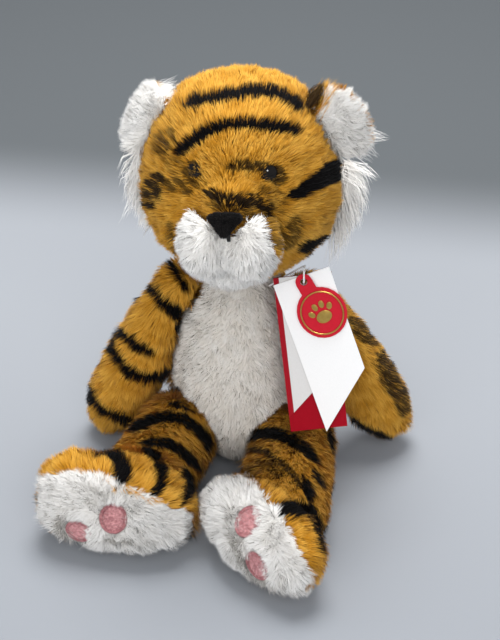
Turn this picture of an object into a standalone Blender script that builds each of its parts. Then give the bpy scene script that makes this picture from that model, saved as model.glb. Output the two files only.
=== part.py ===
"""Plush tiger, sitting, with a folded swing tag on its neck seam.

Metres, +Z up. The origin is on the floor under the middle of the seat, and the toy faces -Y,
so its own left side is at +X. Every form is the outline of the pile, not of the cloth under it.
"""
import math

import bmesh
import bpy
from mathutils import Matrix, Vector

# Gaps and cloth
GAP = 0.0003
SKIN_WALL = 0.005
FLAT_CUT = 0.0005
OVERRUN = 0.02

# How far a hollow in a form stays from a neighbour: for the form, its skin and its stuffing
MARGINS = {"room": GAP, "wall": GAP + SKIN_WALL, "core": GAP + SKIN_WALL + GAP}

# Body
BODY_HEIGHT = 0.104
BODY_WIDTH = 0.070
BODY_DEPTH = 0.076
BODY_LEAN = 0.003
BODY_WIDTH_SHARES = (0.80, 0.98, 1.00, 0.90, 0.74, 0.60)
BODY_DEPTH_SHARES = (0.84, 0.98, 1.00, 0.86, 0.68, 0.58)
BODY_BLUNTNESS = 4.0, 2.7
BELLY_EDGE_Y = -0.013
PELLET_LEVEL = 0.028
PELLET_FRONT_Y = -0.012

# Neck
NECK_BALL_RADIUS = 0.020
NECK_SINK = 0.012
NECK_PIVOT_Z = BODY_HEIGHT - NECK_SINK
NECK_SEAM_RADIUS = 0.010

# Head
HEAD_WIDTH = 0.087
HEAD_DEPTH = 0.084
HEAD_HEIGHT = 0.090
HEAD_RISE = 0.058
HEAD_FRONT = HEAD_DEPTH / 2
HEAD_FORWARD = 0.007
HEAD_WIDTH_SHARES = (0.74, 0.97, 1.02, 0.99, 0.94, 0.90)
HEAD_DEPTH_SHARES = (0.78, 0.98, 1.00, 0.98, 0.94, 0.90)
HEAD_BLUNTNESS = 2.15, 2.15
HEAD_TURN_DEG = 2.5
BRIDGE_WIDTH = 0.034
BRIDGE_DEPTH = 0.040
BRIDGE_HEIGHT = 0.036
BRIDGE_SINK = 0.0135
BRIDGE_REACH = HEAD_FRONT - BRIDGE_SINK
BRIDGE_RISE = 0.003

# Muzzle and nose
MUZZLE_LOBE_WIDTH = 0.025
MUZZLE_LOBE_DEPTH = 0.030
MUZZLE_LOBE_HEIGHT = 0.033
MUZZLE_LOBE_SPACING = 0.018
MUZZLE_REACH = HEAD_FRONT
MUZZLE_DROP = 0.009
CHIN_WIDTH = 0.030
CHIN_DEPTH = 0.024
CHIN_HEIGHT = 0.020
CHIN_SINK = 0.006
CHIN_REACH = HEAD_FRONT - CHIN_SINK
CHIN_DROP = 0.023
NOSE_WIDTH = 0.017
NOSE_HEIGHT = 0.0105
NOSE_THICKNESS = 0.0085
NOSE_STAND = 0.0135
NOSE_REACH = HEAD_FRONT + NOSE_STAND
NOSE_RISE = 0.0065
NOSE_LEAN_DEG = 24.0
NOSE_CORNER = 0.0012
NOSE_RAISE = 0.0023

# Eyes: a domed button with a stem and a lock washer behind the cloth
EYE_WIDTH = 0.0095
EYE_DOME_HEIGHT = 0.0036
EYE_SPACING = 0.033
EYE_RISE = 0.020
EYE_SINK = 0.0030
EYE_WELL_MARGIN = 0.0006
STEM_RADIUS = 0.0016
STEM_BEHIND_CLOTH = 0.0055
WASHER_RADIUS = 0.0055
WASHER_THICKNESS = 0.0012

# Ears: two layers of cloth hinged along the seam on the head
EAR_SEAM_LENGTH = 0.028
EAR_ROOT_RADIUS = 0.0045
EAR_WIDTH = 0.036
EAR_REACH = 0.0202
EAR_HEIGHT = 0.0245
EAR_THICKNESS = 0.0080
EAR_CLEARANCE = 0.0014
EAR_SEAM_OUT = 0.0444
EAR_SEAM_BACK = -0.001

# Long fluff on the cheeks
TUFT_LENGTH = 0.042
TUFT_WIDTH = 0.017
TUFT_THICKNESS = 0.010
TUFT_OUT = 0.046
TUFT_BACK = 0.010
TUFT_DROP = 0.014
TUFT_TILT_DEG = 8.0
TUFT_WIDTH_SHARES = (0.90, 1.0, 0.86, 0.60, 0.35)
TUFT_BLUNTNESS = 2.2, 2.2

# Arms
SHOULDER_OUT = 0.0290
SHOULDER_FORWARD = 0.0030
SHOULDER_SINK = 0.0155
SHOULDER_Z = BODY_HEIGHT - SHOULDER_SINK
SHOULDER_BALL_RADIUS = 0.0123
ARM_LENGTH = 0.0778
PAW_RADIUS = 0.0172
ARM_GIRTH_SHARES = (0.70, 0.80, 0.91, 0.99, 1.0, 0.97)
ARM_BLUNTNESS = 8.0, 2.5
ARM_SEAM_RADIUS = 0.0045

# Legs
HIP_OUT = 0.0280
HIP_FORWARD = 0.0260
LEG_RADIUS = 0.0203
LEG_LENGTH = 0.051
ANKLE_OVERLAP = 0.007
LEG_GIRTH_SHARES = (0.94, 0.98, 1.0, 0.97, 0.92)
LEG_BLUNTNESS = 8.0, 8.0
LEG_DROP_DEG = 70.0
LEG_SWEEP_MARGIN = 0.0011

# Feet
FOOT_LENGTH = 0.068
FOOT_HEIGHT = 0.041
FOOT_DEPTH = 0.035
FOOT_HEIGHT_SHARES = (0.66, 0.84, 1.0, 1.0, 0.86)
FOOT_DEPTH_SHARES = (0.80, 0.96, 1.0, 0.92, 0.74)
FOOT_BLUNTNESS = 2.8, 2.8
SOLE_DEPTH = 0.0125
PAD_LONG = 0.0145
PAD_SHORT = 0.0118
PAD_THICKNESS = 0.0012
PAD_SINK = 0.0020
PAD_WELL_MARGIN = 0.0004

# Tail
TAIL_REACH = 0.0735
TAIL_RADIUS = 0.0085
TAIL_CURL = 0.022
TAIL_ROOT_Y = 0.0370
TAIL_ROOT_Z = 0.0160
TAIL_BALL_RADIUS = 0.0090
TAIL_GIRTH_SHARES = (0.86, 0.95, 1.0, 1.0, 0.96)
TAIL_BLUNTNESS = 4.0, 4.0
TAIL_REACH_SHARES = (0.0, 0.22, 0.60, 1.0)
TAIL_CURL_SHARES = (0.0, 0.04, 0.36, 1.0)
TAIL_DROP_SHARES = (0.0, 0.92, 1.0, 1.0)

# Swing tag: leaves strung on a thin loop
TAG_HOLE_X = 0.0303
TAG_HOLE_Y = -0.0232
TAG_HOLE_RISE = 0.0170
TAG_HOLE_Z = NECK_PIVOT_Z + TAG_HOLE_RISE
TAG_YAW_DEG = 8.0
TAG_LEAN_DEG = 18.0
CARD_THICKNESS = 0.0004
CARD_WIDTH = 0.0255
CARD_TOP = 0.0026
CARD_HOLE_RADIUS = 0.0016
CARD_EDGE_SIDE = 0.0130
CARD_SLACK = 0.0036
BACK_CARD_LENGTH = TAG_HOLE_Z - 2 * LEG_RADIUS + CARD_SLACK
BACK_CARD_FAN_DEG = 7.0
INNER_PAGE_SHORTER = 0.007
INNER_PAGE_LENGTH = BACK_CARD_LENGTH - INNER_PAGE_SHORTER
INNER_PAGE_SLANT = 0.024
FRONT_CARD_LENGTH = BACK_CARD_LENGTH
FRONT_CARD_SLANT = 0.023
FRONT_CARD_FAN_DEG = 20.0
SEAL_WIDTH = 0.0215
SEAL_HEIGHT = 0.0235
SEAL_DROP = 0.0160
SEAL_TAB_RADIUS = 0.0036
SEAL_THICKNESS = 0.0008
SEAL_FAN_DEG = 31.0
SEAL_LAYERS_SHARE = 3.3
LOOP_RADIUS = 0.0004
LOOP_BEND = 0.0022
LOOP_SEAM_TURN_DEG = 46.0
LOOP_SEAM_RISE_DEG = 18.0
LOOP_SEAM_SPREAD_DEG = 9.0

# How finely the forms are cut
BODY_SIDES, BODY_RINGS = 18, 8
HEAD_SIDES, HEAD_RINGS = 18, 9
LIMB_SIDES, LIMB_RINGS = 14, 6
CORE_SIDES, CORE_RINGS = 10, 5
INNER_SIDES, INNER_RINGS = 12, 5
OVAL_SIDES, OVAL_RINGS = 14, 7
BALL_SIDES, BALL_RINGS = 12, 7
SOCKET_SIDES = 24
TAIL_SIDES, TAIL_RINGS = 10, 7
ROD_SIDES = 12
DISC_SIDES = 14
SEAL_SIDES = 24
TAB_SIDES = 8
LOOP_BEVEL_SEGMENTS = 2
LOOP_SEGMENTS = 3
ROUNDING_STEPS = 2

# The two sides differ as the photographed toy flops: turns in degrees, places as shares
POSES = {
    "left": {"side": 1, "ear_angle": 33.0, "ear_lean": 8.0, "ear_reach_share": 1.0,
             "arm_spread": 29.5, "arm_forward": -6.0, "leg_turn": 3.0,
             "sole_turn": 39.0, "sole_lift": 21.0, "ankle_share": 0.48, "forward_share": 0.42,
             "heel_rise_share": 0.04, "pad_shares": {"upper": (0.03, 0.20), "lower": (0.20, -0.16)}},
    "right": {"side": -1, "ear_angle": 29.0, "ear_lean": 52.0, "ear_reach_share": 0.90,
              "arm_spread": 25.5, "arm_forward": 3.0, "leg_turn": 10.0,
              "sole_turn": 0.0, "sole_lift": 17.0, "ankle_share": 0.36, "forward_share": 0.22,
              "heel_rise_share": -0.16, "pad_shares": {"upper": (-0.07, 0.03), "lower": (0.19, -0.18)}},
}

X, Y, Z = Vector((1, 0, 0)), Vector((0, 1, 0)), Vector((0, 0, 1))
TWICE = 2 * (X + Y + Z)
MIDDLE_SHARE = 0.5

# Keeps the corners of forms that meet off one another's planes
UNEVEN_SHARE = 0.31


# Scene, collections and materials

def clear_scene():
    for thing in list(bpy.data.objects):
        bpy.data.objects.remove(thing, do_unlink=True)


def new_collection(name):
    group = bpy.data.collections.new(name)
    bpy.context.scene.collection.children.link(group)
    return group


def material(name, colour, roughness, metallic=0.0):
    made = bpy.data.materials.new(name)
    made.use_nodes = True
    shader = made.node_tree.nodes["Principled BSDF"]
    shader.inputs["Base Color"].default_value = (*colour, 1.0)
    shader.inputs["Roughness"].default_value = roughness
    shader.inputs["Metallic"].default_value = metallic
    made.diffuse_color = (*colour, 1.0)
    return made


def pivot(name, place, turn_deg=0.0):
    """An empty on a joint's axis, which carries the pieces that move about it."""
    empty = bpy.data.objects.new(name, None)
    empty.location = place
    empty.rotation_euler.z = math.radians(turn_deg)
    PARTS.objects.link(empty)
    return empty


def finished(name, bm, carrier=None, look=None, cutter=False):
    """Makes a closed mesh an object of the part, or a cutter."""
    bmesh.ops.recalc_face_normals(bm, faces=bm.faces)
    mesh = bpy.data.meshes.new(name)
    bm.to_mesh(mesh)
    bm.free()
    mesh.shade_smooth()
    thing = bpy.data.objects.new(name, mesh)
    (CUTTERS if cutter else PARTS).objects.link(thing)
    thing.parent = carrier
    if cutter:
        thing.hide_render = True
        thing.display_type = "WIRE"
    if look:
        mesh.materials.append(look)
    return thing


def boolean(thing, other, operation):
    step = thing.modifiers.new(f"{operation.lower()} {other.name}", "BOOLEAN")
    step.operation = operation
    step.object = other
    step.solver = "EXACT"


def cut(thing, *others):
    for other in others:
        boolean(thing, other, "DIFFERENCE")


def join(thing, *others):
    for other in others:
        boolean(thing, other, "UNION")


def keep(thing, *others):
    for other in others:
        boolean(thing, other, "INTERSECT")


# Shapes

def smooth_value(values, share):
    """Reads a list as a smooth curve, from its first value at 0 to its last at 1."""
    place = share * (len(values) - 1)
    start = min(int(place), len(values) - 2)
    t = place - start
    before = values[max(start - 1, 0)]
    here, after = values[start], values[start + 1]
    beyond = values[min(start + 2, len(values) - 1)]
    return 0.5 * (2 * here + (after - before) * t
                  + (2 * before - 5 * here + 4 * after - beyond) * t ** 2
                  + (3 * here - before - 3 * after + beyond) * t ** 3)


def soft_shape(spine, width, depth, width_shares, depth_shares, across, bluntness,
               sides, rings, grow=0.0):
    """A stuffed form: oval rings along a spine, which swell, taper and close in round ends.

    The two values of bluntness are for its first half and its last.
    """
    bm = bmesh.new()
    first = (spine[0] - spine[1]).normalized() * grow + spine[0]
    last = (spine[-1] - spine[-2]).normalized() * grow + spine[-1]
    line = [first, *spine[1:-1], last]
    loops = []
    for ring in range(1, rings):
        share = (1 - math.cos(math.pi * ring / rings)) / 2
        step = 1 / (4 * rings)
        centre = smooth_value(line, share)
        along = (smooth_value(line, min(share + step, 1)) - smooth_value(line, max(share - step, 0)))
        along.normalize()
        wide = (across - along * across.dot(along)).normalized()
        deep = along.cross(wide)
        power = bluntness[0] if share < MIDDLE_SHARE else bluntness[1]
        closing = (1 - abs(2 * share - 1) ** power) ** (1 / power)
        half_width = (width / 2 * smooth_value(width_shares, share) + grow) * closing
        half_depth = (depth / 2 * smooth_value(depth_shares, share) + grow) * closing
        loops.append([bm.verts.new(centre + wide * half_width * math.cos(angle)
                                   + deep * half_depth * math.sin(angle))
                      for angle in (2 * math.pi * (side + UNEVEN_SHARE) / sides for side in range(sides))])
    for lower, upper in zip(loops, loops[1:]):
        for side in range(sides):
            after = (side + 1) % sides
            bm.faces.new((lower[side], lower[after], upper[after]))
            bm.faces.new((lower[side], upper[after], upper[side]))
    for loop, tip in ((loops[0], first), (loops[-1], last)):
        pole = bm.verts.new(tip)
        for side in range(sides):
            bm.faces.new((loop[side], loop[(side + 1) % sides], pole))
    return bm


def ball_shape(place, size, turn=None):
    """A sphere or an ellipsoid of the given full sizes."""
    bm = bmesh.new()
    bmesh.ops.create_uvsphere(bm, u_segments=OVAL_SIDES, v_segments=OVAL_RINGS, radius=MIDDLE_SHARE)
    uneven = Matrix.Rotation(UNEVEN_SHARE, 4, "X") @ Matrix.Rotation(UNEVEN_SHARE, 4, "Y")
    matrix = Matrix.Translation(place) @ (turn or Matrix()) @ Matrix.Diagonal((*size, 1)) @ uneven
    bmesh.ops.transform(bm, matrix=matrix, verts=bm.verts)
    return bm


def joint_ball_shape(place, radius, axis, sides=BALL_SIDES):
    """A ball with its rings round its joint's axis. Its socket has more sides, so that it turns freely."""
    bm = bmesh.new()
    bmesh.ops.create_uvsphere(bm, u_segments=sides, v_segments=BALL_RINGS, radius=radius)
    turn = axis.to_track_quat("Z", "Y").to_matrix().to_4x4() @ Matrix.Rotation(UNEVEN_SHARE, 4, "Z")
    bmesh.ops.transform(bm, matrix=Matrix.Translation(place) @ turn, verts=bm.verts)
    return bm


def box_shape(low, high, turn=None):
    bm = bmesh.new()
    bmesh.ops.create_cube(bm, size=1)
    low, high = Vector(low), Vector(high)
    matrix = (turn or Matrix()) @ Matrix.Translation((low + high) / 2)
    matrix = matrix @ Matrix.Diagonal((*(high - low), 1))
    bmesh.ops.transform(bm, matrix=matrix, verts=bm.verts)
    return bm


def rod_shape(start, end, radius, sides=ROD_SIDES):
    """A cylinder between two points."""
    bm = bmesh.new()
    bmesh.ops.create_cone(bm, cap_ends=True, segments=sides, radius1=radius, radius2=radius,
                          depth=(end - start).length)
    turn = (end - start).to_track_quat("Z", "Y").to_matrix().to_4x4()
    bmesh.ops.transform(bm, matrix=Matrix.Translation((start + end) / 2) @ turn, verts=bm.verts)
    return bm


# Body: the pile's form, the hollow that the stuffing fills, and what cuts both

def body_shape(grow=0.0, sides=BODY_SIDES, rings=BODY_RINGS):
    spine = [Vector((0, 0, -FLAT_CUT)), Vector((0, 0, BODY_HEIGHT / 2)), Vector((0, -BODY_LEAN, BODY_HEIGHT))]
    return soft_shape(spine, BODY_WIDTH, BODY_DEPTH, BODY_WIDTH_SHARES, BODY_DEPTH_SHARES, X,
                      BODY_BLUNTNESS, sides, rings, grow)


def shoulder_place(pose):
    return Vector((pose["side"] * SHOULDER_OUT, -SHOULDER_FORWARD, SHOULDER_Z))


def hip_place(pose):
    return Vector((pose["side"] * HIP_OUT, -HIP_FORWARD, LEG_RADIUS - FLAT_CUT))


def tail_place():
    return Vector((0, TAIL_ROOT_Y, TAIL_ROOT_Z))


def leg_heading(pose):
    return Matrix.Rotation(math.radians(pose["side"] * pose["leg_turn"]), 3, "Z") @ -Y


def leg_tube_shape(pose, grow=0.0, sides=LIMB_SIDES, rings=LIMB_RINGS, drop_deg=0.0):
    """The leg from its hip to its ankle, turned down by some degrees, in its hip's frame."""
    ankle = leg_heading(pose) * (LEG_LENGTH + ANKLE_OVERLAP)
    bm = soft_shape([ankle * 0, ankle / 2, ankle], 2 * LEG_RADIUS, 2 * LEG_RADIUS, LEG_GIRTH_SHARES,
                    LEG_GIRTH_SHARES, Z, LEG_BLUNTNESS, sides, rings, grow)
    drop = Matrix.Rotation(math.radians(drop_deg), 4, "X")
    bmesh.ops.transform(bm, matrix=drop, verts=bm.verts)
    return bm


def hip_sweep(side_name, pose, carrier, kind, margin):
    """What a leg needs clear of the body, from where it lies to where it hangs."""
    socket = joint_ball_shape(Vector(), LEG_RADIUS + margin, X, SOCKET_SIDES)
    room = finished(f"{side_name} hip {kind}", socket, carrier, cutter=True)
    for place, drop_deg in (("start", 0.0), ("end", LEG_DROP_DEG)):
        tube = leg_tube_shape(pose, margin + LEG_SWEEP_MARGIN, CORE_SIDES, CORE_RINGS, drop_deg)
        join(room, finished(f"{side_name} leg swing {kind} {place}", tube, carrier, cutter=True))
    return room


def floor_cutter():
    reach = BODY_HEIGHT * 3
    return finished("floor", box_shape((-reach, -reach, -OVERRUN), (reach, reach, 0)), cutter=True)


def make_body(hips, shoulders, looks):
    edge = BODY_DEPTH + OVERRUN
    front_box = finished("belly side", box_shape((-edge, -edge, -OVERRUN),
                                                 (edge, BELLY_EDGE_Y, BODY_HEIGHT + OVERRUN)), cutter=True)
    back_box = finished("back side", box_shape((-edge, BELLY_EDGE_Y + GAP, -OVERRUN),
                                               (edge, edge, BODY_HEIGHT + OVERRUN)), cutter=True)
    cutters = {}
    for kind, margin in MARGINS.items():
        group = cutters[kind] = []
        for side_name, pose in POSES.items():
            group.append(hip_sweep(side_name, pose, hips[side_name], kind, margin))
            socket = joint_ball_shape(Vector(), SHOULDER_BALL_RADIUS + margin, Y, SOCKET_SIDES)
            group.append(finished(f"{side_name} shoulder {kind}", socket, shoulders[side_name], cutter=True))
        socket = joint_ball_shape(tail_place(), TAIL_BALL_RADIUS + margin, Z, SOCKET_SIDES)
        group.append(finished(f"tail {kind}", socket, cutter=True))
    neck = Vector((0, 0, NECK_PIVOT_Z))
    neck_ball = finished("neck dome", joint_ball_shape(neck, NECK_BALL_RADIUS, Z), cutter=True)
    hollow = finished("body hollow", body_shape(-SKIN_WALL, INNER_SIDES, INNER_RINGS), cutter=True)
    cut(hollow, *cutters["wall"])
    for name, side_box, look in (("belly_panel", front_box, "white"), ("body_skin", back_box, "orange")):
        skin = finished(name, body_shape(), look=looks[look])
        join(skin, neck_ball)
        cut(skin, *cutters["room"], hollow, FLOOR)
        keep(skin, side_box)
    filling = (("body_stuffing", PELLET_LEVEL + GAP, BODY_HEIGHT), ("pellet_bag", -OVERRUN, PELLET_LEVEL))
    for name, low, high in filling:
        inside = finished(name, body_shape(-SKIN_WALL - GAP, INNER_SIDES, INNER_RINGS),
                          look=looks["stuffing" if low > 0 else "pellets"])
        cut(inside, *cutters["core"])
        front = PELLET_FRONT_Y if low < 0 else -edge
        layer = box_shape((-edge, front, low), (edge, edge, high))
        keep(inside, finished(f"{name} layer", layer, cutter=True))


# Head, in its neck pivot's frame

HEAD_CENTRE = Vector((0, -HEAD_FORWARD, HEAD_RISE))


def head_shape(grow=0.0, sides=HEAD_SIDES, rings=HEAD_RINGS):
    half = Vector((0, 0, HEAD_HEIGHT / 2))
    return soft_shape([HEAD_CENTRE - half, HEAD_CENTRE, HEAD_CENTRE + half], HEAD_WIDTH, HEAD_DEPTH,
                      HEAD_WIDTH_SHARES, HEAD_DEPTH_SHARES, X, HEAD_BLUNTNESS, sides, rings, grow)


def bridge_shape(grow=0.0):
    place = HEAD_CENTRE + Vector((0, -BRIDGE_REACH, BRIDGE_RISE))
    return ball_shape(place, Vector((BRIDGE_WIDTH, BRIDGE_DEPTH, BRIDGE_HEIGHT)) + TWICE * grow)


def head_form(name, grow, neck, cutter=True, look=None):
    """The head with the bridge of its nose, to be kept or to cut what seats on it."""
    head = finished(name, head_shape(grow), neck, look, cutter)
    join(head, finished(f"{name} bridge", bridge_shape(grow), neck, cutter=True))
    return head


def eye_line(side):
    """Where an eye sits on the head's form, and the way out of the head there."""
    across, rise = side * EYE_SPACING / 2, EYE_RISE
    flat = 1 - (2 * across / HEAD_WIDTH) ** 2 - (2 * rise / HEAD_HEIGHT) ** 2
    place = Vector((across, -HEAD_DEPTH / 2 * math.sqrt(flat), rise))
    outward = Vector((place.x / HEAD_WIDTH ** 2, place.y / HEAD_DEPTH ** 2, place.z / HEAD_HEIGHT ** 2))
    return HEAD_CENTRE + place, outward.normalized()


def ear_frame(pose):
    """An ear's own frame: X along its seam, downwards, Z outwards along the flap as it leans back."""
    side, turn, lean = pose["side"], math.radians(pose["ear_angle"]), math.radians(pose["ear_lean"])
    outward = Vector((side * math.cos(turn), 0, math.sin(turn)))
    along = Vector((side * math.sin(turn), 0, -math.cos(turn)))
    place = HEAD_CENTRE + outward * EAR_SEAM_OUT + Vector((0, EAR_SEAM_BACK, 0))
    flap = outward * math.cos(lean) + Y * math.sin(lean)
    frame = Matrix((along, flap.cross(along), flap)).transposed().to_4x4()
    return Matrix.Translation(place) @ frame


def ear_root_shape(grow=0.0):
    reach = X * (EAR_SEAM_LENGTH / 2 + grow)
    return rod_shape(-reach, reach, EAR_ROOT_RADIUS + grow, DISC_SIDES)


def make_ear(side_name, pose, neck, seat, looks):
    """An ear: a round root along the seam and a flat oval flap, halved into its two layers."""
    frame = ear_frame(pose)
    carrier = pivot(f"{side_name}_ear_pivot", frame.translation)
    carrier.parent = neck
    carrier.rotation_euler = frame.to_euler()
    flap_place = Vector((0, 0, (EAR_REACH - EAR_HEIGHT / 2) * pose["ear_reach_share"]))
    flap_size = Vector((EAR_WIDTH, EAR_THICKNESS, EAR_HEIGHT * pose["ear_reach_share"]))
    front_sign = -1 if (frame.to_3x3() @ Y).y > 0 else 1
    reach = EAR_WIDTH + EAR_REACH
    for layer, look, sign in (("front", "white", front_sign), ("back", "orange", -front_sign)):
        ear = finished(f"{side_name}_ear_{layer}", ear_root_shape(), carrier, looks[look])
        flap = finished(f"{side_name} ear flap {layer}", ball_shape(flap_place, flap_size), carrier,
                        cutter=True)
        cut(flap, seat)
        join(ear, flap)
        low = (-reach, GAP / 2, -reach) if sign > 0 else (-reach, -reach, -reach)
        high = (reach, reach, reach) if sign > 0 else (reach, -GAP / 2, reach)
        half = finished(f"{side_name} ear {layer} half", box_shape(low, high), carrier, cutter=True)
        keep(ear, half)
    return carrier


def make_head(neck, looks):
    ear_seat = finished("ear seat", head_shape(EAR_CLEARANCE), neck, cutter=True)
    ears = {name: make_ear(name, pose, neck, ear_seat, looks) for name, pose in POSES.items()}
    origin = Vector()
    cutters = {}
    for kind, margin in MARGINS.items():
        dish = joint_ball_shape(origin, NECK_BALL_RADIUS + margin, Z, SOCKET_SIDES)
        group = cutters[kind] = [finished(f"neck dish {kind}", dish, neck, cutter=True)]
        for side_name, carrier in ears.items():
            group.append(finished(f"{side_name} ear {kind}", ear_root_shape(margin), carrier, cutter=True))
    seam = rod_shape(origin, HEAD_CENTRE.project(Z), NECK_SEAM_RADIUS)
    seam_cutter = finished("head seam opening", seam, neck, cutter=True)
    hollow = finished("head hollow", head_shape(-SKIN_WALL, INNER_SIDES, INNER_RINGS), neck, cutter=True)
    cut(hollow, *cutters["wall"])
    skin = head_form("head_skin", 0.0, neck, cutter=False, look=looks["orange"])
    cut(skin, hollow, seam_cutter, *cutters["room"])
    filling = finished("head_stuffing", head_shape(-SKIN_WALL - GAP, INNER_SIDES, INNER_RINGS), neck,
                       looks["stuffing"])
    cut(filling, *cutters["core"])
    for side_name, pose in POSES.items():
        make_eye(side_name, pose["side"], neck, skin, filling, looks)


def make_eye(side_name, side, neck, skin, filling, looks):
    place, outward = eye_line(side)
    seat = place - outward * EYE_SINK
    turn = outward.to_track_quat("Z", "Y").to_matrix().to_4x4()
    behind = place - outward * (SKIN_WALL + STEM_BEHIND_CLOTH)
    dome = ball_shape(seat, Vector((EYE_WIDTH, EYE_WIDTH, 2 * EYE_DOME_HEIGHT)), turn)
    eye = finished(f"{side_name}_eye", dome, neck, looks["eye"])
    back = Matrix.Translation(seat) @ turn
    reach = EYE_WIDTH
    cut(eye, finished(f"{side_name} eye back", box_shape((-reach, -reach, -reach), (reach, reach, 0), back),
                      neck, cutter=True))
    stem = rod_shape(behind, seat + outward * EYE_DOME_HEIGHT / 2, STEM_RADIUS)
    join(eye, finished(f"{side_name} eye stem", stem, neck, cutter=True))
    well = rod_shape(seat - outward * GAP, place + outward * OVERRUN, EYE_WIDTH / 2 + EYE_WELL_MARGIN,
                     OVAL_SIDES)
    stem_room = rod_shape(behind - outward * 2 * GAP, place, STEM_RADIUS + GAP)
    clamp = place - outward * (SKIN_WALL + STEM_BEHIND_CLOTH / 2)
    half = outward * WASHER_THICKNESS / 2
    disc = rod_shape(clamp - half, clamp + half, WASHER_RADIUS, DISC_SIDES)
    disc_room = rod_shape(behind - outward * GAP, clamp + half + outward * GAP, WASHER_RADIUS + GAP,
                          DISC_SIDES)
    bore = finished(f"{side_name} stem bore", stem_room, neck, cutter=True)
    pocket = finished(f"{side_name} washer pocket", disc_room, neck, cutter=True)
    washer = finished(f"{side_name}_eye_washer", disc, neck, looks["washer"])
    cut(washer, bore)
    cut(skin, finished(f"{side_name} eye well", well, neck, cutter=True), bore, pocket)
    cut(filling, bore, pocket)


def muzzle_form(name, grow, neck, look=None):
    """Two lobes and a chin, to be kept or to cut what seats on them."""
    wide = TWICE * grow
    lobe_size = Vector((MUZZLE_LOBE_WIDTH, MUZZLE_LOBE_DEPTH, MUZZLE_LOBE_HEIGHT)) + wide
    chin_size = Vector((CHIN_WIDTH, CHIN_DEPTH, CHIN_HEIGHT)) + wide
    chin_place = HEAD_CENTRE + Vector((0, -CHIN_REACH, -CHIN_DROP))
    form = finished(name, ball_shape(chin_place, chin_size), neck, look, look is None)
    for side in (-1, 1):
        place = HEAD_CENTRE + Vector((side * MUZZLE_LOBE_SPACING / 2, -MUZZLE_REACH, -MUZZLE_DROP))
        join(form, finished(f"{name} lobe {side}", ball_shape(place, lobe_size), neck, cutter=True))
    return form


def make_muzzle(neck, looks):
    muzzle = muzzle_form("muzzle", 0.0, neck, looks["white"])
    cut(muzzle, head_form("muzzle seat", GAP, neck))


def make_nose(neck, looks):
    """A rounded triangle of black cloth on top of the muzzle, its point down."""
    half, rise = NOSE_WIDTH / 2, NOSE_HEIGHT / 2
    outline_shares = ((-1.0, 0.70), (-0.72, 1.0), (0.72, 1.0), (1.0, 0.70), (0.22, -0.85), (-0.22, -0.85))
    place = HEAD_CENTRE + Vector((0, -NOSE_REACH, NOSE_RISE))
    turn = Matrix.Translation(place) @ Matrix.Rotation(math.radians(90 - NOSE_LEAN_DEG), 4, "X")
    bm = bmesh.new()
    rim = [bm.verts.new((half * across, rise * up, -NOSE_THICKNESS)) for across, up in outline_shares]
    bm.faces.new(rim)
    pulled = bmesh.ops.extrude_face_region(bm, geom=list(bm.faces))
    raised = [item for item in pulled["geom"] if isinstance(item, bmesh.types.BMVert)]
    bmesh.ops.translate(bm, vec=Z * (NOSE_THICKNESS + NOSE_RAISE), verts=raised)
    bmesh.ops.transform(bm, matrix=turn, verts=bm.verts)
    nose = finished("nose", bm, neck, looks["nose"])
    rounding = nose.modifiers.new("rounding", "BEVEL")
    rounding.width = NOSE_CORNER
    rounding.segments = ROUNDING_STEPS
    cut(nose, head_form("nose seat", GAP, neck), muzzle_form("muzzle under nose", GAP, neck))


def make_tuft(side_name, side, neck, looks):
    """Long fluff along the cheek, from under the ear down to the jaw."""
    top = HEAD_CENTRE + Vector((side * TUFT_OUT, TUFT_BACK, TUFT_LENGTH / 2 - TUFT_DROP))
    lean = Vector((-side * math.sin(math.radians(TUFT_TILT_DEG)), 0, -math.cos(math.radians(TUFT_TILT_DEG))))
    spine = [top, top + lean * TUFT_LENGTH / 2, top + lean * TUFT_LENGTH]
    shape = soft_shape(spine, TUFT_WIDTH, TUFT_THICKNESS, TUFT_WIDTH_SHARES, TUFT_WIDTH_SHARES, X,
                       TUFT_BLUNTNESS, CORE_SIDES, CORE_RINGS)
    tuft = finished(f"{side_name}_cheek_tuft", shape, neck, looks["white"])
    cut(tuft, head_form(f"{side_name} tuft seat", GAP, neck))


# Arms and legs, each in its pivot's frame

def arm_line(pose):
    spread, forward = math.radians(pose["arm_spread"]), math.radians(pose["arm_forward"])
    return Vector((pose["side"] * math.sin(spread), -math.sin(forward), -math.cos(spread))).normalized()


def arm_shape(pose, grow=0.0, sides=LIMB_SIDES, rings=LIMB_RINGS):
    line = arm_line(pose)
    reach = ARM_LENGTH + PAW_RADIUS
    return soft_shape([line * 0, line * reach / 2, line * reach], 2 * PAW_RADIUS, 2 * PAW_RADIUS,
                      ARM_GIRTH_SHARES, ARM_GIRTH_SHARES, Y, ARM_BLUNTNESS, sides, rings, grow)


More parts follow.
